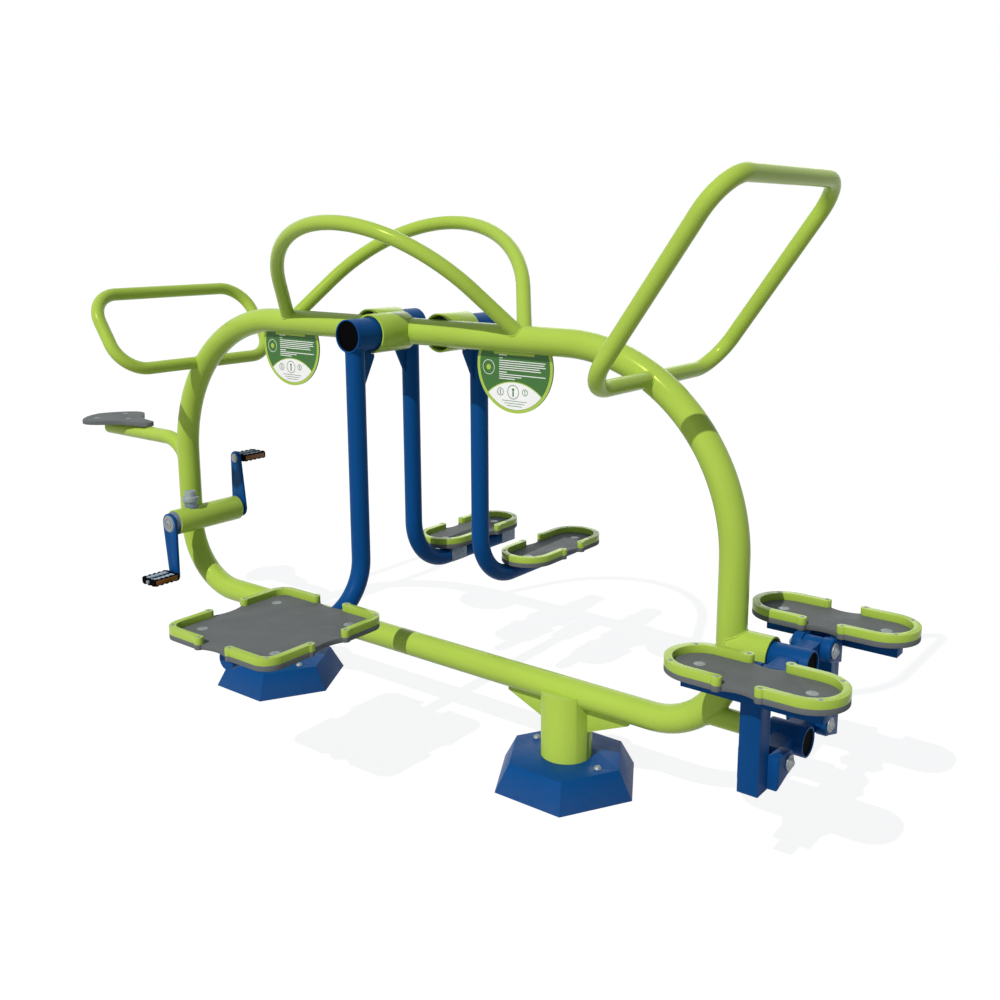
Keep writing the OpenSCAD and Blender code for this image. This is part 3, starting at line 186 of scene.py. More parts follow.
# sockets of a Mix node that mixes colours
MIX_FACTOR, MIX_FIRST, MIX_SECOND, MIX_RESULT = 0, 6, 7, 2
DUST = (0.30, 0.27, 0.22)
DUST_TOP = 0.09


def material(name):
    """A new material with its node tree and its shader."""
    mat = bpy.data.materials.new(name)
    mat.use_nodes = True
    return mat, mat.node_tree, mat.node_tree.nodes["Principled BSDF"]


def node(tree, kind, **values):
    """A new node; each value goes to the input or, failing that, to the setting of its name."""
    made = tree.nodes.new(kind)
    for key, value in values.items():
        if key in made.inputs:
            made.inputs[key].default_value = value
        else:
            setattr(made, key, value)
    return made


def own_coords(tree):
    """Coordinates that stay with the piece."""
    return tree.nodes.new("ShaderNodeTexCoord").outputs["Object"]


def noise(tree, coords, scale, detail=2.0, rough=0.5):
    tex = node(tree, "ShaderNodeTexNoise", Scale=scale, Detail=detail, Roughness=rough)
    tree.links.new(coords, tex.inputs["Vector"])
    return tex.outputs["Fac"]


def cells(tree, coords, scale):
    tex = node(tree, "ShaderNodeTexVoronoi", Scale=scale)
    tree.links.new(coords, tex.inputs["Vector"])
    return tex.outputs["Distance"]


def spread(tree, value, low, high, start=0.3, end=0.7):
    """Spreads what lies between start and end over low to high."""
    ranged = node(tree, "ShaderNodeMapRange", **{
        "From Min": start, "From Max": end, "To Min": low, "To Max": high,
    })
    tree.links.new(value, ranged.inputs["Value"])
    return ranged.outputs["Result"]


def blend_of(tree, factor, first, second):
    """A colour between two, each a plain colour or another node's output."""
    mixed = node(tree, "ShaderNodeMix", data_type="RGBA")
    for place, colour in ((MIX_FIRST, first), (MIX_SECOND, second)):
        if isinstance(colour, tuple):
            mixed.inputs[place].default_value = (*colour, 1)
        else:
            tree.links.new(colour, mixed.inputs[place])
    tree.links.new(factor, mixed.inputs[MIX_FACTOR])
    return mixed.outputs[MIX_RESULT]


def relief(tree, height, shader, strength, distance):
    bump = node(tree, "ShaderNodeBump", Strength=strength, Distance=distance)
    tree.links.new(height, bump.inputs["Height"])
    tree.links.new(bump.outputs["Normal"], shader.inputs["Normal"])


def dimmed(colour, share):
    return tuple(c * share for c in colour)


def powder_coat(name, colour, gloss, dust=0.0, sheen=(1, 1, 1), level=0.28):
    """Gloss powder coat with a faint orange peel, slow tone changes and dust low down."""
    mat, tree, shader = material(name)
    coords = own_coords(tree)
    tone = spread(tree, noise(tree, coords, 2.4, 3.0), 0, 1)
    out = blend_of(tree, tone, dimmed(colour, 0.95), dimmed(colour, 1.04))
    if dust:
        split = tree.nodes.new("ShaderNodeSeparateXYZ")
        tree.links.new(coords, split.inputs["Vector"])
        worn = node(tree, "ShaderNodeMath", operation="MULTIPLY")
        tree.links.new(spread(tree, split.outputs["Z"], dust, 0.0, 0.0, DUST_TOP), worn.inputs[0])
        tree.links.new(noise(tree, coords, 38, 6.0, 0.65), worn.inputs[1])
        out = blend_of(tree, worn.outputs[0], out, DUST)
    tree.links.new(out, shader.inputs["Base Color"])
    rough = spread(tree, noise(tree, coords, 14, 4.0), gloss - 0.05, gloss + 0.07)
    tree.links.new(rough, shader.inputs["Roughness"])
    shader.inputs["Specular IOR Level"].default_value = level
    shader.inputs["Specular Tint"].default_value = (*sheen, 1)
    relief(tree, noise(tree, coords, 420, 1.0), shader, 0.07, 0.0004)
    return mat


def grained_board(name, colour):
    """Moulded board with a fine pebble grain, speckle and scuffed sheen."""
    mat, tree, shader = material(name)
    coords = own_coords(tree)
    speck = spread(tree, noise(tree, coords, 900, 2.0, 0.6), 0, 1, 0.35, 0.65)
    scuff = noise(tree, coords, 11, 6.0, 0.62)
    base = blend_of(tree, speck, dimmed(colour, 0.82), dimmed(colour, 1.18))
    worn = blend_of(tree, spread(tree, scuff, 0, 0.22, 0.5, 0.75), base, dimmed(colour, 1.25))
    tree.links.new(worn, shader.inputs["Base Color"])
    tree.links.new(spread(tree, scuff, 0.72, 0.58), shader.inputs["Roughness"])
    shader.inputs["Specular IOR Level"].default_value = 0.1
    relief(tree, cells(tree, coords, 420.0), shader, 0.35, 0.0005)
    return mat


def zinc_plate(name, colour, metal=0.3, contrast=0.14):
    """Dull zinc with soft spangles."""
    mat, tree, shader = material(name)
    coords = own_coords(tree)
    spangle = spread(tree, cells(tree, coords, 110.0), 0, 1, 0.1, 0.6)
    dark, pale = dimmed(colour, 0.96 - contrast), dimmed(colour, 0.96 + contrast)
    tree.links.new(blend_of(tree, spangle, dark, pale), shader.inputs["Base Color"])
    shader.inputs["Metallic"].default_value = metal
    shader.inputs["Specular IOR Level"].default_value = 0.3
    rough = spread(tree, noise(tree, coords, 45, 4.0), 0.40, 0.54)
    tree.links.new(rough, shader.inputs["Roughness"])
    relief(tree, noise(tree, coords, 700, 2.0), shader, 0.08, 0.0003)
    return mat


def moulded_plastic(name, colour=(0.001, 0.001, 0.0012), rough=0.75, level=0.02):
    """Moulded plastic or rubber with a faint grain."""
    mat, tree, shader = material(name)
    coords = own_coords(tree)
    grain = noise(tree, coords, 800, 2.0)
    tone = spread(tree, noise(tree, coords, 25, 4.0), 0, 1)
    tree.links.new(blend_of(tree, tone, colour, dimmed(colour, 1.8)), shader.inputs["Base Color"])
    tree.links.new(spread(tree, grain, rough - 0.06, rough + 0.08), shader.inputs["Roughness"])
    shader.inputs["Specular IOR Level"].default_value = level
    relief(tree, grain, shader, 0.12, 0.0003)
    return mat


def clear_amber(name, colour):
    """Amber reflector with small prisms behind its face."""
    mat, tree, shader = material(name)
    prisms = cells(tree, own_coords(tree), 330.0)
    tone = spread(tree, prisms, 0, 1, 0.1, 0.6)
    tree.links.new(blend_of(tree, tone, dimmed(colour, 0.55), colour), shader.inputs["Base Color"])
    shader.inputs["Roughness"].default_value = 0.2
    shader.inputs["Specular IOR Level"].default_value = 0.3
    relief(tree, prisms, shader, 0.4, 0.0005)
    return mat


FINISH = {}


def make_finishes(colours):
    lime, sign = tuple(colours.lime), tuple(colours.sign)
    white = (0.93, 0.93, 0.91)
    FINISH.update(
        lime_paint=powder_coat("lime powder coat", lime, 0.20, sheen=(1.0, 1.0, 0.3), level=0.16),
        blue_paint=powder_coat(
            "blue powder coat", tuple(colours.blue), 0.42,
            dust=0.1, sheen=(0.7, 0.9, 1.0), level=0.07,
        ),
        grey_board=grained_board("grained grey board", tuple(colours.board)),
        bolt_steel=zinc_plate("blasted stainless", (0.285, 0.32, 0.33), 0.4, 0.04),
        zinc_steel=zinc_plate("dull zinc", (0.187, 0.235, 0.29)),
        cast_grey=zinc_plate("cast grey", (0.31, 0.355, 0.36), 0.1, 0.05),
        black_plastic=moulded_plastic("black moulded plastic"),
        sign_face=powder_coat("sign green", sign, 0.34),
        sign_lime=powder_coat("sign border", lime, 0.34),
        sign_white=powder_coat("sign white", white, 0.34),
        rubber_grey=moulded_plastic("grey tread", (0.24, 0.30, 0.36), 0.6, 0.2),
        amber=clear_amber("amber reflector", tuple(colours.amber)),
    )


# Modelling helpers


def deselect():
    if bpy.context.object and bpy.context.object.mode != "OBJECT":
        bpy.ops.object.mode_set(mode="OBJECT")
    bpy.ops.object.select_all(action="DESELECT")


def pick(*objects):
    deselect()
    for obj in objects:
        obj.select_set(True)
    bpy.context.view_layer.objects.active = objects[0]


def linked(name, data):
    """A new object in the scene."""
    obj = bpy.data.objects.new(name, data)
    bpy.context.scene.collection.objects.link(obj)
    return obj


def settle(obj):
    """Puts an object's place, turn and size into its mesh."""
    pick(obj)
    bpy.ops.object.transform_apply(location=True, rotation=True, scale=True)
    return obj


def paint(obj, finish):
    obj.data.materials.clear()
    obj.data.materials.append(FINISH[finish])
    return obj


def smooth(obj, angle=40):
    pick(obj)
    bpy.ops.object.shade_smooth_by_angle(angle=radians(angle))


def modify(obj, kind, **values):
    """Adds a modifier with its settings and applies it."""
    pick(obj)
    mod = obj.modifiers.new(kind.title(), kind)
    for key, value in values.items():
        setattr(mod, key, value)
    bpy.ops.object.modifier_apply(modifier=mod.name)
    return obj


def rounded(obj, width, segments=2, angle=30):
    return modify(
        obj, "BEVEL", width=width, segments=segments, limit_method="ANGLE",
        angle_limit=radians(angle), harden_normals=False, miter_outer="MITER_ARC",
    )


def joined(name, pieces):
    pick(*pieces)
    bpy.ops.object.join()
    obj = bpy.context.object
    obj.name = obj.data.name = name
    return settle(obj)


def solid_copy(source, name):
    """A merged copy of a frame node's mesh, with its flat faces whole again."""
    obj = linked(name, frame["nodes"][source].data.copy())
    pick(obj)
    bpy.ops.object.mode_set(mode="EDIT")
    bpy.ops.mesh.select_all(action="SELECT")
    bpy.ops.mesh.remove_doubles(threshold=0.00002)
    bpy.ops.mesh.customdata_custom_splitnormals_clear()
    bpy.ops.mesh.dissolve_limited(angle_limit=radians(0.6))
    bpy.ops.object.mode_set(mode="OBJECT")
    return obj


def box_piece(centre, size, width=0.0, segments=2):
    """A box, rounded by a width if one is given."""
    deselect()
    bpy.ops.mesh.primitive_cube_add(size=1, location=centre)
    obj = bpy.context.object
    obj.scale = size
    settle(obj)
    return rounded(obj, width, segments) if width else obj


def rod_piece(centre, radius, length, width=0.0, vertices=48):
    """A round rod along Y, rounded by a width if one is given."""
    deselect()
    bpy.ops.mesh.primitive_cylinder_add(
        vertices=vertices, radius=radius, depth=length, location=centre, rotation=(pi / 2, 0, 0),
    )
    obj = settle(bpy.context.object)
    return rounded(obj, width) if width else obj


def combined(obj, other, operation="DIFFERENCE"):
    """Cuts an object with another, or keeps what both share; the other is used up."""
    modify(obj, "BOOLEAN", operation=operation, object=other, solver="EXACT")
    bpy.data.objects.remove(other)
    return obj


def ring_piece(centre, radius, width, thick, vertices=96):
    """A flat ring that faces along Y."""
    disc = rod_piece(centre, radius, thick, vertices=vertices)
    return combined(disc, rod_piece(centre, radius - width, 3 * thick, vertices=vertices))


def body_of_node(name):
    for body, members in frame["record"]["behaviour"]["bodies"].items():
        if name in members:
            return body
    raise RuntimeError("no body holds " + name)


def stands_for(obj, source):
    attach(obj, body_of_node(source))
    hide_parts(source)


class STATION_OT_coat(Operator):
    """Gives every node of the frame its finish"""

    bl_idname = "station.coat"
    bl_label = "Coat the frame"

    def execute(self, context):
        make_finishes(context.scene.station_colours)
        for name, obj in frame["nodes"].items():
            paint(obj, SLOTS[name])
        return {"FINISHED"}


# Rounded edges


# nodes by the size that rounds them
ROUNDED = {
    "edge": [
        "post_left", "post_right", "cover_left", "cover_right",
        "surf_board", "walk_left_board", "walk_right_board", "front_board", "rear_board",
        "walk_left_clamps", "walk_right_clamps", "front_carrier", "rear_carrier",
        "upper_rocker", "lower_rocker", "bearings", "upper_pins", "lower_pins",
    ],
    "tube_edge": ["crank_housing", "surf_housing", "walk_housings", "resistance_knob"],
    "soft_edge": [
        "surf_rims", "walk_left_rims", "walk_right_rims", "front_rims", "rear_rims",
        "crank_arms", "seat_plate",
    ],
}
SEGMENTS = {"edge": 2, "tube_edge": 3, "soft_edge": 3}

# pieces that look other than their stock material
LOOKS = {"resistance_knob": "cast_grey"}

# from the middle of a pedal's post to the outer face of a cheek
CHEEK_FACE = 0.060
CHEEK_SLACK = 0.0006


def round_cheeks(obj, width):
    """Rounds the outer faces of the cheeks on a pedal's post."""
    post_x = middle("upper_pins").x
    mesh = obj.data
    cheek = {
        v.index for v in mesh.vertices if abs(abs(v.co.x - post_x) - CHEEK_FACE) < CHEEK_SLACK
    }
    weight = mesh.attributes.new("bevel_weight_edge", "FLOAT", "EDGE")
    for edge in mesh.edges:
        a, b = edge.vertices
        weight.data[edge.index].value = float(a in cheek and b in cheek)
    # not clamped, because the short edges beside it would hold the rounding back
    modify(obj, "BEVEL", width=width, segments=4, limit_method="WEIGHT", use_clamp_overlap=False)


class STATION_OT_round_edges(Operator):
    """Rounds the sharp edges of plates, rims, covers and castings"""

    bl_idname = "station.round_edges"
    bl_label = "Round the edges"

    def execute(self, context):
        sizes = context.scene.station_sizes
        for size_name, sources in ROUNDED.items():
            for source in sources:
                obj = solid_copy(source, source + "_rounded")
                if source.endswith("_carrier"):
                    round_cheeks(obj, sizes.cheek)
                rounded(obj, getattr(sizes, size_name), SEGMENTS[size_name])
                smooth(obj)
                paint(obj, LOOKS.get(source, SLOTS[source]))
                stands_for(obj, source)
        return {"FINISHED"}


# Bolts


# width of a big bolt's head, which has the full dimple
BIG_HEAD = 0.034
SMALLEST_DIMPLE = 0.003
DIMPLE_DEPTH_SHARE = 0.6


def loose_tops(obj):
    """Middle of the top, and width, of each separate solid in an object."""
    mesh = obj.data
    links = [[] for _ in mesh.vertices]
    for edge in mesh.edges:
        a, b = edge.vertices
        links[a].append(b)
        links[b].append(a)
    seen = set()
    found = []
    for start in range(len(links)):
        if start in seen:
            continue
        group, queue = [], [start]
        seen.add(start)
        while queue:
            v = queue.pop()
            group.append(mesh.vertices[v].co)
            for w in links[v]:
                if w not in seen:
                    seen.add(w)
                    queue.append(w)
        low = Vector([min(c[i] for c in group) for i in range(3)])
        high = Vector([max(c[i] for c in group) for i in range(3)])
        top = Vector(((low.x + high.x) / 2, (low.y + high.y) / 2, high.z))
        found.append((top, high.x - low.x))
    return found


class STATION_OT_bolts(Operator):
    """Drills the small hole in the middle of each bolt head and blasts the heads"""

    bl_idname = "station.bolts"
    bl_label = "Finish the bolts"

    def execute(self, context):
        dimple = context.scene.station_sizes.dimple
        for place in ("frame", "surf", "walk_left", "walk_right", "front", "rear"):
            source = place + "_bolts"
            obj = solid_copy(source, source + "_drilled")
            cutters = []
            for top, width in loose_tops(obj):
                across = max(SMALLEST_DIMPLE, dimple * (width / BIG_HEAD))
                deselect()
                bpy.ops.mesh.primitive_cylinder_add(
                    vertices=16, radius=across / 2,
                    depth=2 * across * DIMPLE_DEPTH_SHARE, location=top,
                )
                cutters.append(settle(bpy.context.object))
            combined(obj, joined("dimple_cutter", cutters))
            rounded(obj, 0.0004, 1, 50)
            smooth(obj)
            paint(obj, SLOTS[source])
            stands_for(obj, source)
        return {"FINISHED"}


# Axle


# the end discs lie within this radius, and their flat faces reach past the next
AXLE_DISC_REACH = 0.040
AXLE_FACE_FROM = 0.034
# radius, width and thickness of the ring that is cut off an end disc, and of its groove
AXLE_TRIM = (0.0365, 0.0045, 0.0078)
AXLE_GROOVE = (0.0205, 0.003, 0.004)
AXLE_HOLE_SHARE = 0.8
AXLE_HOLE_LENGTH = 0.012


class STATION_OT_axle(Operator):
    """Turns the groove and the centre hole in both ends of the crank's axle"""

    bl_idname = "station.axle"
    bl_label = "Finish the axle"

    def execute(self, context):
        hole_r = context.scene.station_sizes.dimple * AXLE_HOLE_SHARE
        obj = solid_copy("crank_axle", "crank_axle_turned")
        axis_x, axis_z = middle("crank_axle").x, middle("crank_axle").z

        def off_axis(place):
            return hypot(place.x - axis_x, place.z - axis_z)

        ends = [v.co.copy() for v in obj.data.vertices if off_axis(v.co) < AXLE_DISC_REACH]
        for outermost in (min, max):
            face = outermost(c.y for c in ends if off_axis(c) > AXLE_FACE_FROM)
            tip = outermost(c.y for c in ends)
            for ring in (AXLE_TRIM, AXLE_GROOVE):
                combined(obj, ring_piece((axis_x, face, axis_z), *ring))
            combined(obj, rod_piece((axis_x, tip, axis_z), hole_r, AXLE_HOLE_LENGTH, vertices=24))
        rounded(obj, 0.0008)
        smooth(obj)
        paint(obj, SLOTS["crank_axle"])
        stands_for(obj, "crank_axle")
        return {"FINISHED"}


# Pedals


# the dressed cage as shares of the solid's width and length
CAGE_WIDTH_SHARE, CAGE_LENGTH_SHARE = 0.87, 0.91
CAGE_PLATE = 0.006
# from a side or an end of the cage to the middle of its plate
SIDE_PLATE_IN, END_PLATE_IN = 0.0045, 0.0035
# height of the plate between two lobes, and how full the lobes are
LOBE_VALLEY, LOBE_POWER = 0.66, 0.6
REFLECTOR_T = 0.003
# tread blocks and sleeve, as shares of the cage
TREAD_OFF, TREAD_RIBS, RIB_STEP = 0.25, range(-2, 3), 0.16


def lobed_plate(centre, length, height, lobes, along="Y"):
    """An upright cage plate with round lobes on its upper and lower edge."""
    deselect()
    bpy.ops.mesh.primitive_grid_add(
        x_subdivisions=10 * lobes, y_subdivisions=1, size=1, location=(0, 0, 0),
    )
    obj = bpy.context.object
    for v in obj.data.vertices:
        lobe = abs(sin(pi * lobes * (v.co.x + 0.5))) ** LOBE_POWER
        v.co.y *= LOBE_VALLEY + (1 - LOBE_VALLEY) * lobe
    obj.scale = (length, height, 1)
    obj.rotation_euler = (pi / 2, 0, pi / 2 if along == "Y" else 0)
    obj.location = centre
    settle(obj)
    modify(obj, "SOLIDIFY", thickness=CAGE_PLATE, offset=0.0)
    return rounded(obj, 0.0006, 1, 50)


def pedal(source, name, lobes):
    low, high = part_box(source)
    way = -1 if low.y < HOME.y else 1
    width, length = (high.x - low.x) * CAGE_WIDTH_SHARE, (high.y - low.y) * CAGE_LENGTH_SHARE
    size = Vector((width, length, high.z - low.z))
    inner = high.y if way < 0 else low.y
    centre = Vector(((low.x + high.x) / 2, inner + way * size.y / 2, (low.z + high.z) / 2))

    def spot(x, y, z):
        """A place in the cage, as shares of its size from its middle."""
        return (centre.x + x * size.x, centre.y + y * size.y, centre.z + z * size.z)

    def part(x, y, z):
        """A size as shares of the cage's."""
        return (x * size.x, y * size.y, z * size.z)

    black, grey, amber = [], [], []
    for side in (-1, 1):
        side_x = centre.x + side * (size.x / 2 - SIDE_PLATE_IN)
        end_y = centre.y + side * (size.y / 2 - END_PLATE_IN)
        face_x = centre.x + side * (size.x / 2 - REFLECTOR_T / 2)
        black.append(lobed_plate((side_x, centre.y, centre.z), size.y, size.z, lobes))
        black.append(lobed_plate(
            (centre.x, end_y, centre.z), size.x * 0.96, size.z, max(2, lobes - 2), "X",
        ))
        amber.append(box_piece(
            (face_x, centre.y, centre.z), (REFLECTOR_T, size.y * 0.88, size.z * 0.62), 0.001,
        ))
        grey.append(box_piece(spot(side * TREAD_OFF, 0, 0), part(0.27, 0.84, 0.80), 0.003))
        for k in TREAD_RIBS:
            for top in (-1, 1):
                place = spot(side * TREAD_OFF, k * RIB_STEP, top * 0.42)
                grey.append(box_piece(place, (size.x * 0.22, 0.007, 0.002), 0.0008, 1))
    grey.append(box_piece(spot(0, way * 0.40, 0), part(0.20, 0.14, 0.78), 0.002))
    black.append(rod_piece(centre, size.z * 0.40, size.y * 0.96, 0.0015))
    for group, finish in ((black, "black_plastic"), (grey, "rubber_grey"), (amber, "amber")):
        for obj in group:
            paint(obj, finish)
    obj = joined(name, black + grey + amber)
    smooth(obj, 35)
    stands_for(obj, source)


class STATION_OT_pedals(Operator):
    """Builds the two pedals with their cages, tread blocks and reflectors"""

    bl_idname = "station.pedals"
    bl_label = "Build the pedals"

    def execute(self, context):
        lobes = context.scene.station_sizes.lobes
        pedal("pedal_front", "front_pedal_cage", lobes)
        pedal("pedal_rear", "rear_pedal_cage", lobes)
        return {"FINISHED"}


# Signs; the print's places and sizes are in millimetres, from the middle of a disc


SIGN_T = 5
BORDER_W = 10.5
FIELD_R = 138.5
# the pale lower field ends in the arc of a big circle, with a lime edge
PALE_Z, PALE_R, PALE_EDGE = -212.3, 161.3, 3.0
# left end, right end, height and thickness of each plain line
PLAIN_LINES = (
    (-62, -30, 35, 4), (-61, -47, 25, 2.5), (-61, 122, 17, 2.6), (-61, 118, 10, 2.6),
    (-61, 122, 3, 2.6), (-61, 100, -4, 2.6), (-61, 105, -11, 2.6), (-61, -30, -20, 3),
    (-61, 122, -27, 2.6), (-61, 28, -34, 2.6), (-61, 2, -41, 2.6),
)
BADGE_X, BADGE_Z, BADGE_R, BADGE_RING, BADGE_CORE = -104, -8, 24, 1.6, 9
# place and radius of the round symbols: a ring with a dot over a bar
SYMBOLS = ((-56, -84, 13), (-5, -82, 23), (42, -80, 11))
SYMBOL_RING = 2.2
DOT_UP, DOT_R, BAR_HALF, BAR_DOWN, BAR_TALL = 0.35, 0.2, 0.12, 0.25, 0.75
# height and half length of the lines below them
FOOT_LINES = ((-111, 50), (-119, 40), (-127, 30))
FOOT_LINE_T = 1.8
# discs from this radius on have more sides
WIDE_DISC, WIDE_SIDES, SMALL_SIDES = 60, 160, 64

STRIP_LENGTH, STRIP_H = 0.1604, 0.007
# how far the strip stands proud of the sign's edges
STRIP_PROUD_T, STRIP_PROUD_H, STRIP_UP = 0.0006, 0.0012, 0.0004


def keep_below(obj, z):
    """Cuts an object at a height and keeps what lies below."""
    pick(obj)
    bpy.ops.object.mode_set(mode="EDIT")
    bpy.ops.mesh.select_all(action="SELECT")
    bpy.ops.mesh.bisect(plane_co=(0, 0, z), plane_no=(0, 0, 1), use_fill=True, clear_outer=True)
    bpy.ops.object.mode_set(mode="OBJECT")
    return obj


def sign_print(centre, radius, top, face, depth):
    """The printed shapes on one face of a sign; top is where the beam cuts it."""
    y = centre.y + face * (SIGN_T * MM / 2 + depth * 0.4)
    pieces = []

    def place(x, z):
        return (centre.x - face * x * MM, y, centre.z + z * MM)

    def sides(r):
        return SMALL_SIDES if r < WIDE_DISC else WIDE_SIDES

    def disc(x, z, r, thick=depth):
        return rod_piece(place(x, z), r * MM, thick, vertices=sides(r))

    def ring(x, z, r, width, thick=depth):
        return ring_piece(place(x, z), r * MM, width * MM, thick, sides(r))

    def line(x0, x1, z, width, thick=depth):
        size = (abs(x1 - x0) * MM, thick, width * MM)
        return box_piece(place((x0 + x1) / 2, z), size)

    def add(finish, *shapes):
        pieces.extend(paint(shape, finish) for shape in shapes)

    add("sign_lime", keep_below(ring(0, 0, radius / MM, BORDER_W), centre.z + top))
    pale = disc(0, PALE_Z, PALE_R, 3 * depth)
    add("sign_white", combined(disc(0, 0, FIELD_R), pale, "INTERSECT"))
    edge = ring(0, PALE_Z, PALE_R + PALE_EDGE, PALE_EDGE, 3 * depth)
    add("sign_lime", combined(disc(0, 0, FIELD_R), edge, "INTERSECT"))
    for x0, x1, z, width in PLAIN_LINES:
        add("sign_white", line(x0, x1, z, width))
    add("sign_white", ring(BADGE_X, BADGE_Z, BADGE_R, BADGE_RING))
    add("sign_lime", disc(BADGE_X, BADGE_Z, BADGE_CORE))
    for x, z, r in SYMBOLS:
        half = BAR_HALF * r
        add(
            "sign_face",
            ring(x, z, r, SYMBOL_RING, 2 * depth),
            disc(x, z + DOT_UP * r, DOT_R * r, 2 * depth),
            line(x - half, x + half, z - BAR_DOWN * r, BAR_TALL * r, 2 * depth),
        )
    for z, half in FOOT_LINES:
        add("sign_face", line(-half, half, z, FOOT_LINE_T, 2 * depth))
    return pieces


class STATION_OT_signs(Operator):
    """Puts a border, a pale field, plain lines and simple symbols on both faces of the signs"""

    bl_idname = "station.signs"
    bl_label = "Dress the signs"

    def execute(self, context):
        depth = context.scene.station_sizes.print_depth
        for source in ("sign_left", "sign_right"):
            low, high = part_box(source)
            radius = (high.x - low.x) / 2
            centre = Vector(((low.x + high.x) / 2, (low.y + high.y) / 2, low.z + radius))
            top = BEAM_Z - MAIN_R - centre.z
            pieces = []
            for face in (-1, 1):
                pieces += sign_print(centre, radius, top, face, depth)
            strip = box_piece(
                (centre.x, centre.y, centre.z + top - STRIP_H / 2 + STRIP_UP),
                (STRIP_LENGTH, high.y - low.y + STRIP_PROUD_T, STRIP_H + STRIP_PROUD_H),
                0.0005, 1,
            )
            pieces.append(paint(strip, "sign_lime"))
            obj = joined(source + "_print", pieces)
            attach(obj, body_of_node(source))
        return {"FINISHED"}


# Weld beads


SEAM_POINTS = 72
HALVINGS = 40


def bead(name, points, radius, finish, body):
    """A bead of weld along a closed line of points."""
    deselect()
    data = bpy.data.curves.new(name, "CURVE")
    data.dimensions = "3D"
    data.bevel_depth = radius
    data.bevel_resolution = 2
    spline = data.splines.new("POLY")
    spline.points.add(len(points) - 1)
    for k, (target, point) in enumerate(zip(spline.points, points)):
        target.co = (*point, 1)
        # the bead's thickness varies along it
        target.radius = 1.0 + 0.16 * sin(k * 2.399) * cos(k * 0.7)
    spline.use_cyclic_u = True
    pick(linked(name, data))
    bpy.ops.object.convert(target="MESH")
    obj = bpy.context.object
    smooth(obj, 60)
    paint(obj, finish)
    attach(obj, body)


def leaving(path, end, distance):
    """The point at which a path, run from 0 to end, leaves a surface given by its distance."""
    near, far = 0.0, end
    for _ in range(HALVINGS):
        between = (near + far) / 2
        if distance(path(between)) < 0:
            near = between
        else:
            far = between
    return path(near)


def turns():
    return (2 * pi * k / SEAM_POINTS for k in range(SEAM_POINTS))


def tube_seam(foot, along, radius, distance, reach):
    """Points where a straight round tube, from foot along a direction, leaves a surface."""
    along = along.normalized()
    side = along.orthogonal().normalized()
    up = along.cross(side)
    points = []
    for turn in turns():
        rim = foot + (side * cos(turn) + up * sin(turn)) * radius
        points.append(leaving(lambda t: rim + along * t, reach, distance))
    return points


def bend_seam(centre, bend_r, sweep, radius, distance):
    """Points where a tube bent in the frame's plane leaves the upright, from its low end up."""
    points = []
    for turn in turns():
        out, across = bend_r + radius * cos(turn), radius * sin(turn)

        def bent(swept):
            left = sweep - swept
            return centre + Vector((out * sin(left), across, out * cos(left)))

        points.append(leaving(bent, sweep, distance))
    return points


def from_main(p):
    """Distance of a point from the skin of the main frame tube."""
    x, y, z = abs(p.x - HOME.x), p.y - HOME.y, p.z
    if z > BEAM_Z - BEND_TOP:
        r, mid_z = BEND_TOP, BEAM_Z - BEND_TOP
    elif z < LOW_Z + BEND_LOW:
        r, mid_z = BEND_LOW, LOW_Z + BEND_LOW
    else:
        return hypot(x - HALF_SPAN, y) - MAIN_R
    if x < HALF_SPAN - r:
        flat = abs(z - mid_z) - r
    else:
        flat = hypot(x - (HALF_SPAN - r), z - mid_z) - r
    return hypot(flat, y) - MAIN_R


def frame_seams():
    """Name and points of each seam on the main frame."""
    for name in ("right", "left"):
        low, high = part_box("handle_" + name)
        foot_x = low.x + LOOP_R if name == "right" else high.x - LOOP_R
        foot = Vector((foot_x, HOME.y, low.z + LOOP_R))
        for side, word in ((-1, "front"), (1, "back")):
            along = Vector((0, side, 0))
            yield f"weld_handle_{name}_{word}", tube_seam(foot, along, LOOP_R, from_main, 0.1)
    for name, lean in (("front", ARCH_LEAN), ("back", -ARCH_LEAN)):
        for side, word in ((-1, "left"), (1, "right")):
            foot = Vector((middle("arch_" + name).x + side * ARCH_FOOT, HOME.y, BEAM_Z))
            rise = Vector((-side * sin(ARCH_SPLAY), 0, cos(ARCH_SPLAY)))
            rise = Vector((rise.x, -sin(lean) * rise.z, cos(lean) * rise.z))
            yield f"weld_arch_{name}_{word}", tube_seam(foot, rise, LOOP_R, from_main, 0.2)
    yield "weld_seat_arm", bend_seam(
        SEAT_BEND_CENTRE, SEAT_BEND_R, SEAT_BEND_SWEEP, SEAT_ARM_R, from_main,
    )
    outward = Vector((1, 0, 0))
    yield "weld_stepper_housing", tube_seam(
        STEPPER_HOUSING_FOOT, outward, STEPPER_HOUSING_R, from_main, 0.06,
    )
    yield "weld_stepper_stub", tube_seam(
        STEPPER_STUB_FOOT, outward, STEPPER_STUB_R, from_main, 0.2,
    )


class STATION_OT_welds(Operator):
    """Lays weld beads where tubes meet the main frame and the hubs"""

    bl_idname = "station.welds"
    bl_label = "Lay the welds"

    def execute(self, context):
        radius = context.scene.station_sizes.bead
        for name, points in frame_seams():
            bead(name, points, radius, "lime_paint", "frame")
        for place in ("surf", "walk_left", "walk_right"):
            cap = middle(place + "_cap")
            way = -1 if cap.y < HOME.y else 1
            top = Vector((cap.x, cap.y + way * (CAP_TO_END - LEG_R), BEAM_Z))

            def from_hub(p):
                return hypot(p.x - cap.x, p.z - BEAM_Z) - HUB_R

            points = tube_seam(top, Vector((0, 0, -1)), LEG_R, from_hub, 0.08)
            body = body_of_node(place + "_pendulum")
            bead(f"weld_{place}_hub", points, radius, "blue_paint", body)
        return {"FINISHED"}


# Stage


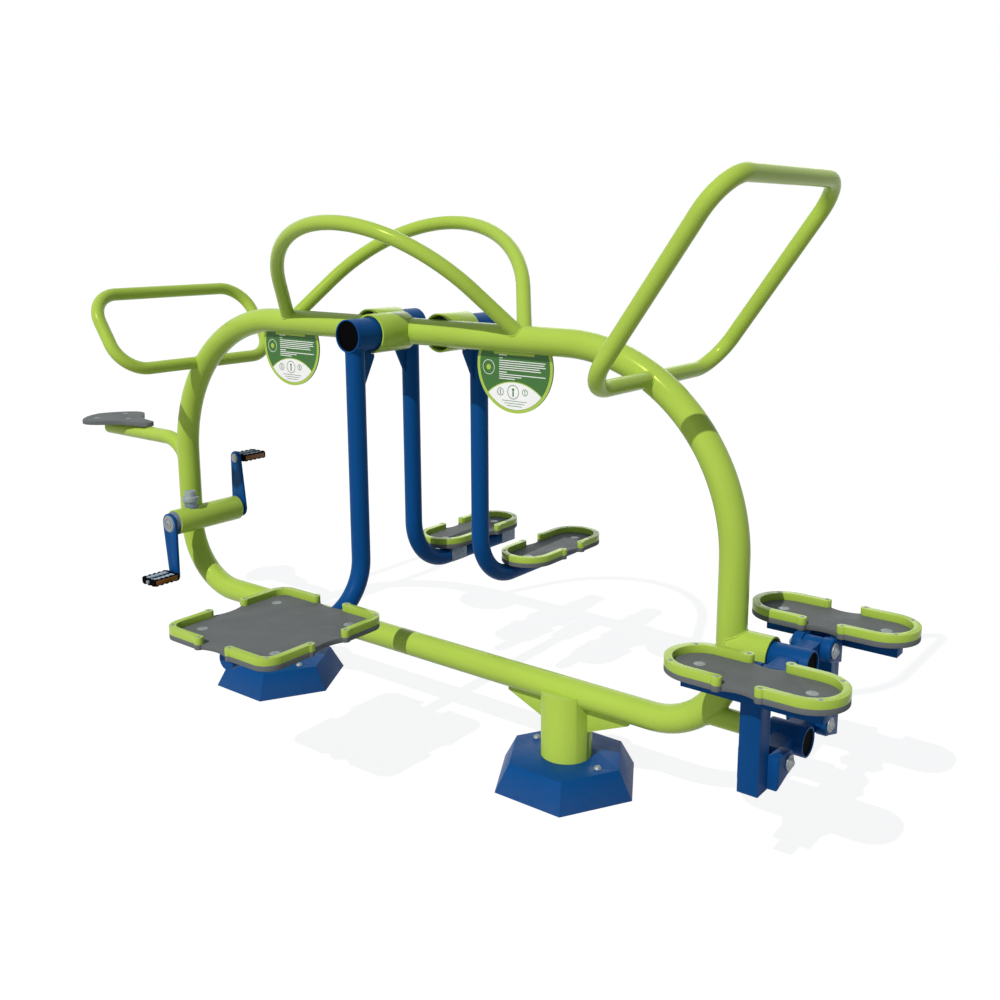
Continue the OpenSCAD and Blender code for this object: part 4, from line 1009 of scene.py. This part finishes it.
FLOOR_SIZE = 60
FLOOR_GREY, FLOOR_PALE = (0.42, 0.42, 0.42), (0.90, 0.90, 0.90)
FLOOR_GLOW, FLOOR_GLOW_SHARE = 1.09, 0.80
SKY, SKY_STRENGTH = (0.82, 0.96, 1.18, 1), 0.22
WHITE = (1, 1, 1, 1)

CAMERA_PLACE = (2576, -2769, 1795)
CAMERA_DOWN, CAMERA_TURN = 11.72, 37
CAMERA_LENS, CAMERA_SENSOR = 39.73, 36
CAMERA_SHIFT = (-0.021, -0.048)


def is_seen(tree):
    """1 for what the camera sees, straight, mirrored or through glass, and 0 for the light."""
    rays = tree.nodes.new("ShaderNodeLightPath").outputs
    seen = rays["Is Camera Ray"]
    for kind in ("Is Glossy Ray", "Is Transmission Ray"):
        either = node(tree, "ShaderNodeMath", operation="MAXIMUM")
        tree.links.new(seen, either.inputs[0])
        tree.links.new(rays[kind], either.inputs[1])
        seen = either.outputs[0]
    return seen


def surface_of(tree, output, share, first, second):
    """Gives an output node a mix of two shaders."""
    mix = tree.nodes.new("ShaderNodeMixShader")
    for place, source in enumerate((share, first, second)):
        tree.links.new(source, mix.inputs[place])
    tree.links.new(mix.outputs[0], tree.nodes[output].inputs["Surface"])


def lamp(name, kind, place, aim, energy, size, colour=(1, 1, 1)):
    data = bpy.data.lights.new(name, kind)
    data.energy = energy
    data.color = colour
    setattr(data, "angle" if kind == "SUN" else "size", size)
    obj = linked(name, data)
    obj.location = place
    obj.rotation_euler = (Vector(aim) - Vector(place)).to_track_quat("-Z", "Y").to_euler()


class STATION_OT_stage(Operator):
    """Sets the floor, the light and the camera"""

    bl_idname = "station.stage"
    bl_label = "Set the stage"

    def execute(self, context):
        scene = context.scene
        deselect()
        bpy.ops.mesh.primitive_plane_add(size=FLOOR_SIZE, location=(0, 0, 0))
        floor = bpy.context.object
        floor.name = "floor"
        mat, tree, shader = material("pale floor")
        seen = is_seen(tree)
        ground = blend_of(tree, seen, FLOOR_GREY, FLOOR_PALE)
        tree.links.new(ground, shader.inputs["Base Color"])
        shader.inputs["Roughness"].default_value = 1.0
        shader.inputs["Specular IOR Level"].default_value = 0.0
        glow = node(tree, "ShaderNodeEmission", Strength=FLOOR_GLOW, Color=WHITE)
        share = node(tree, "ShaderNodeMath", operation="MULTIPLY")
        share.inputs[1].default_value = FLOOR_GLOW_SHARE
        tree.links.new(seen, share.inputs[0])
        surface_of(tree, "Material Output", share.outputs[0], shader.outputs[0], glow.outputs[0])
        floor.data.materials.append(mat)

        world = bpy.data.worlds.new("soft studio")
        scene.world = world
        world.use_nodes = True
        tree = world.node_tree
        sky = tree.nodes["Background"]
        sky.inputs["Color"].default_value = SKY
        sky.inputs["Strength"].default_value = SKY_STRENGTH
        bright = node(tree, "ShaderNodeBackground", Strength=1.0, Color=WHITE)
        surface_of(tree, "World Output", is_seen(tree), sky.outputs[0], bright.outputs[0])

        sun_colour = (1.03, 1.0, 0.97)
        lamp("key", "SUN", (0.04, -1.0, 1.1), (0, 0, 0), 2.55, radians(0.6), sun_colour)
        lamp("fill", "AREA", (0.5, -6.5, 0.9), (0, 0, 0.8), 90, 5.0)
        lamp("back", "AREA", (-2.5, 6.0, 3.5), (0, 0, 0.8), 80, 5.0)

        data = bpy.data.cameras.new("camera")
        data.sensor_width = CAMERA_SENSOR
        data.lens = CAMERA_LENS
        data.shift_x, data.shift_y = CAMERA_SHIFT
        data.clip_end = 200
        camera = linked("camera", data)
        camera.location = at(*CAMERA_PLACE)
        camera.rotation_euler = (radians(90 - CAMERA_DOWN), 0, radians(CAMERA_TURN))
        scene.camera = camera
        scene.view_settings.view_transform = "Standard"
        return {"FINISHED"}


class STATION_PT_panel(Panel):
    """Lists the station's steps"""

    bl_idname = "STATION_PT_panel"
    bl_label = "Fitness station"
    bl_space_type = "VIEW_3D"
    bl_region_type = "UI"
    bl_category = "Station"

    def draw(self, context):
        for group in (context.scene.station_sizes, context.scene.station_colours):
            for name in group.__annotations__:
                self.layout.prop(group, name)
        for step in STEPS:
            self.layout.operator(step.bl_idname)


STEPS = (
    STATION_OT_stage,
    STATION_OT_coat,
    STATION_OT_round_edges,
    STATION_OT_bolts,
    STATION_OT_axle,
    STATION_OT_pedals,
    STATION_OT_signs,
    STATION_OT_welds,
)
CLASSES = (StationColours, StationSizes, *STEPS, STATION_PT_panel)


def register():
    for cls in CLASSES:
        bpy.utils.register_class(cls)
    bpy.types.Scene.station_colours = PointerProperty(type=StationColours)
    bpy.types.Scene.station_sizes = PointerProperty(type=StationSizes)


def unregister():
    del bpy.types.Scene.station_colours
    del bpy.types.Scene.station_sizes
    for cls in reversed(CLASSES):
        bpy.utils.unregister_class(cls)


def main():
    register()
    for step in STEPS:
        group, name = step.bl_idname.split(".")
        result = getattr(getattr(bpy.ops, group), name)()
        if "FINISHED" not in result:
            raise RuntimeError(step.bl_idname + " did not finish")


if __name__ == "__main__":
    main()
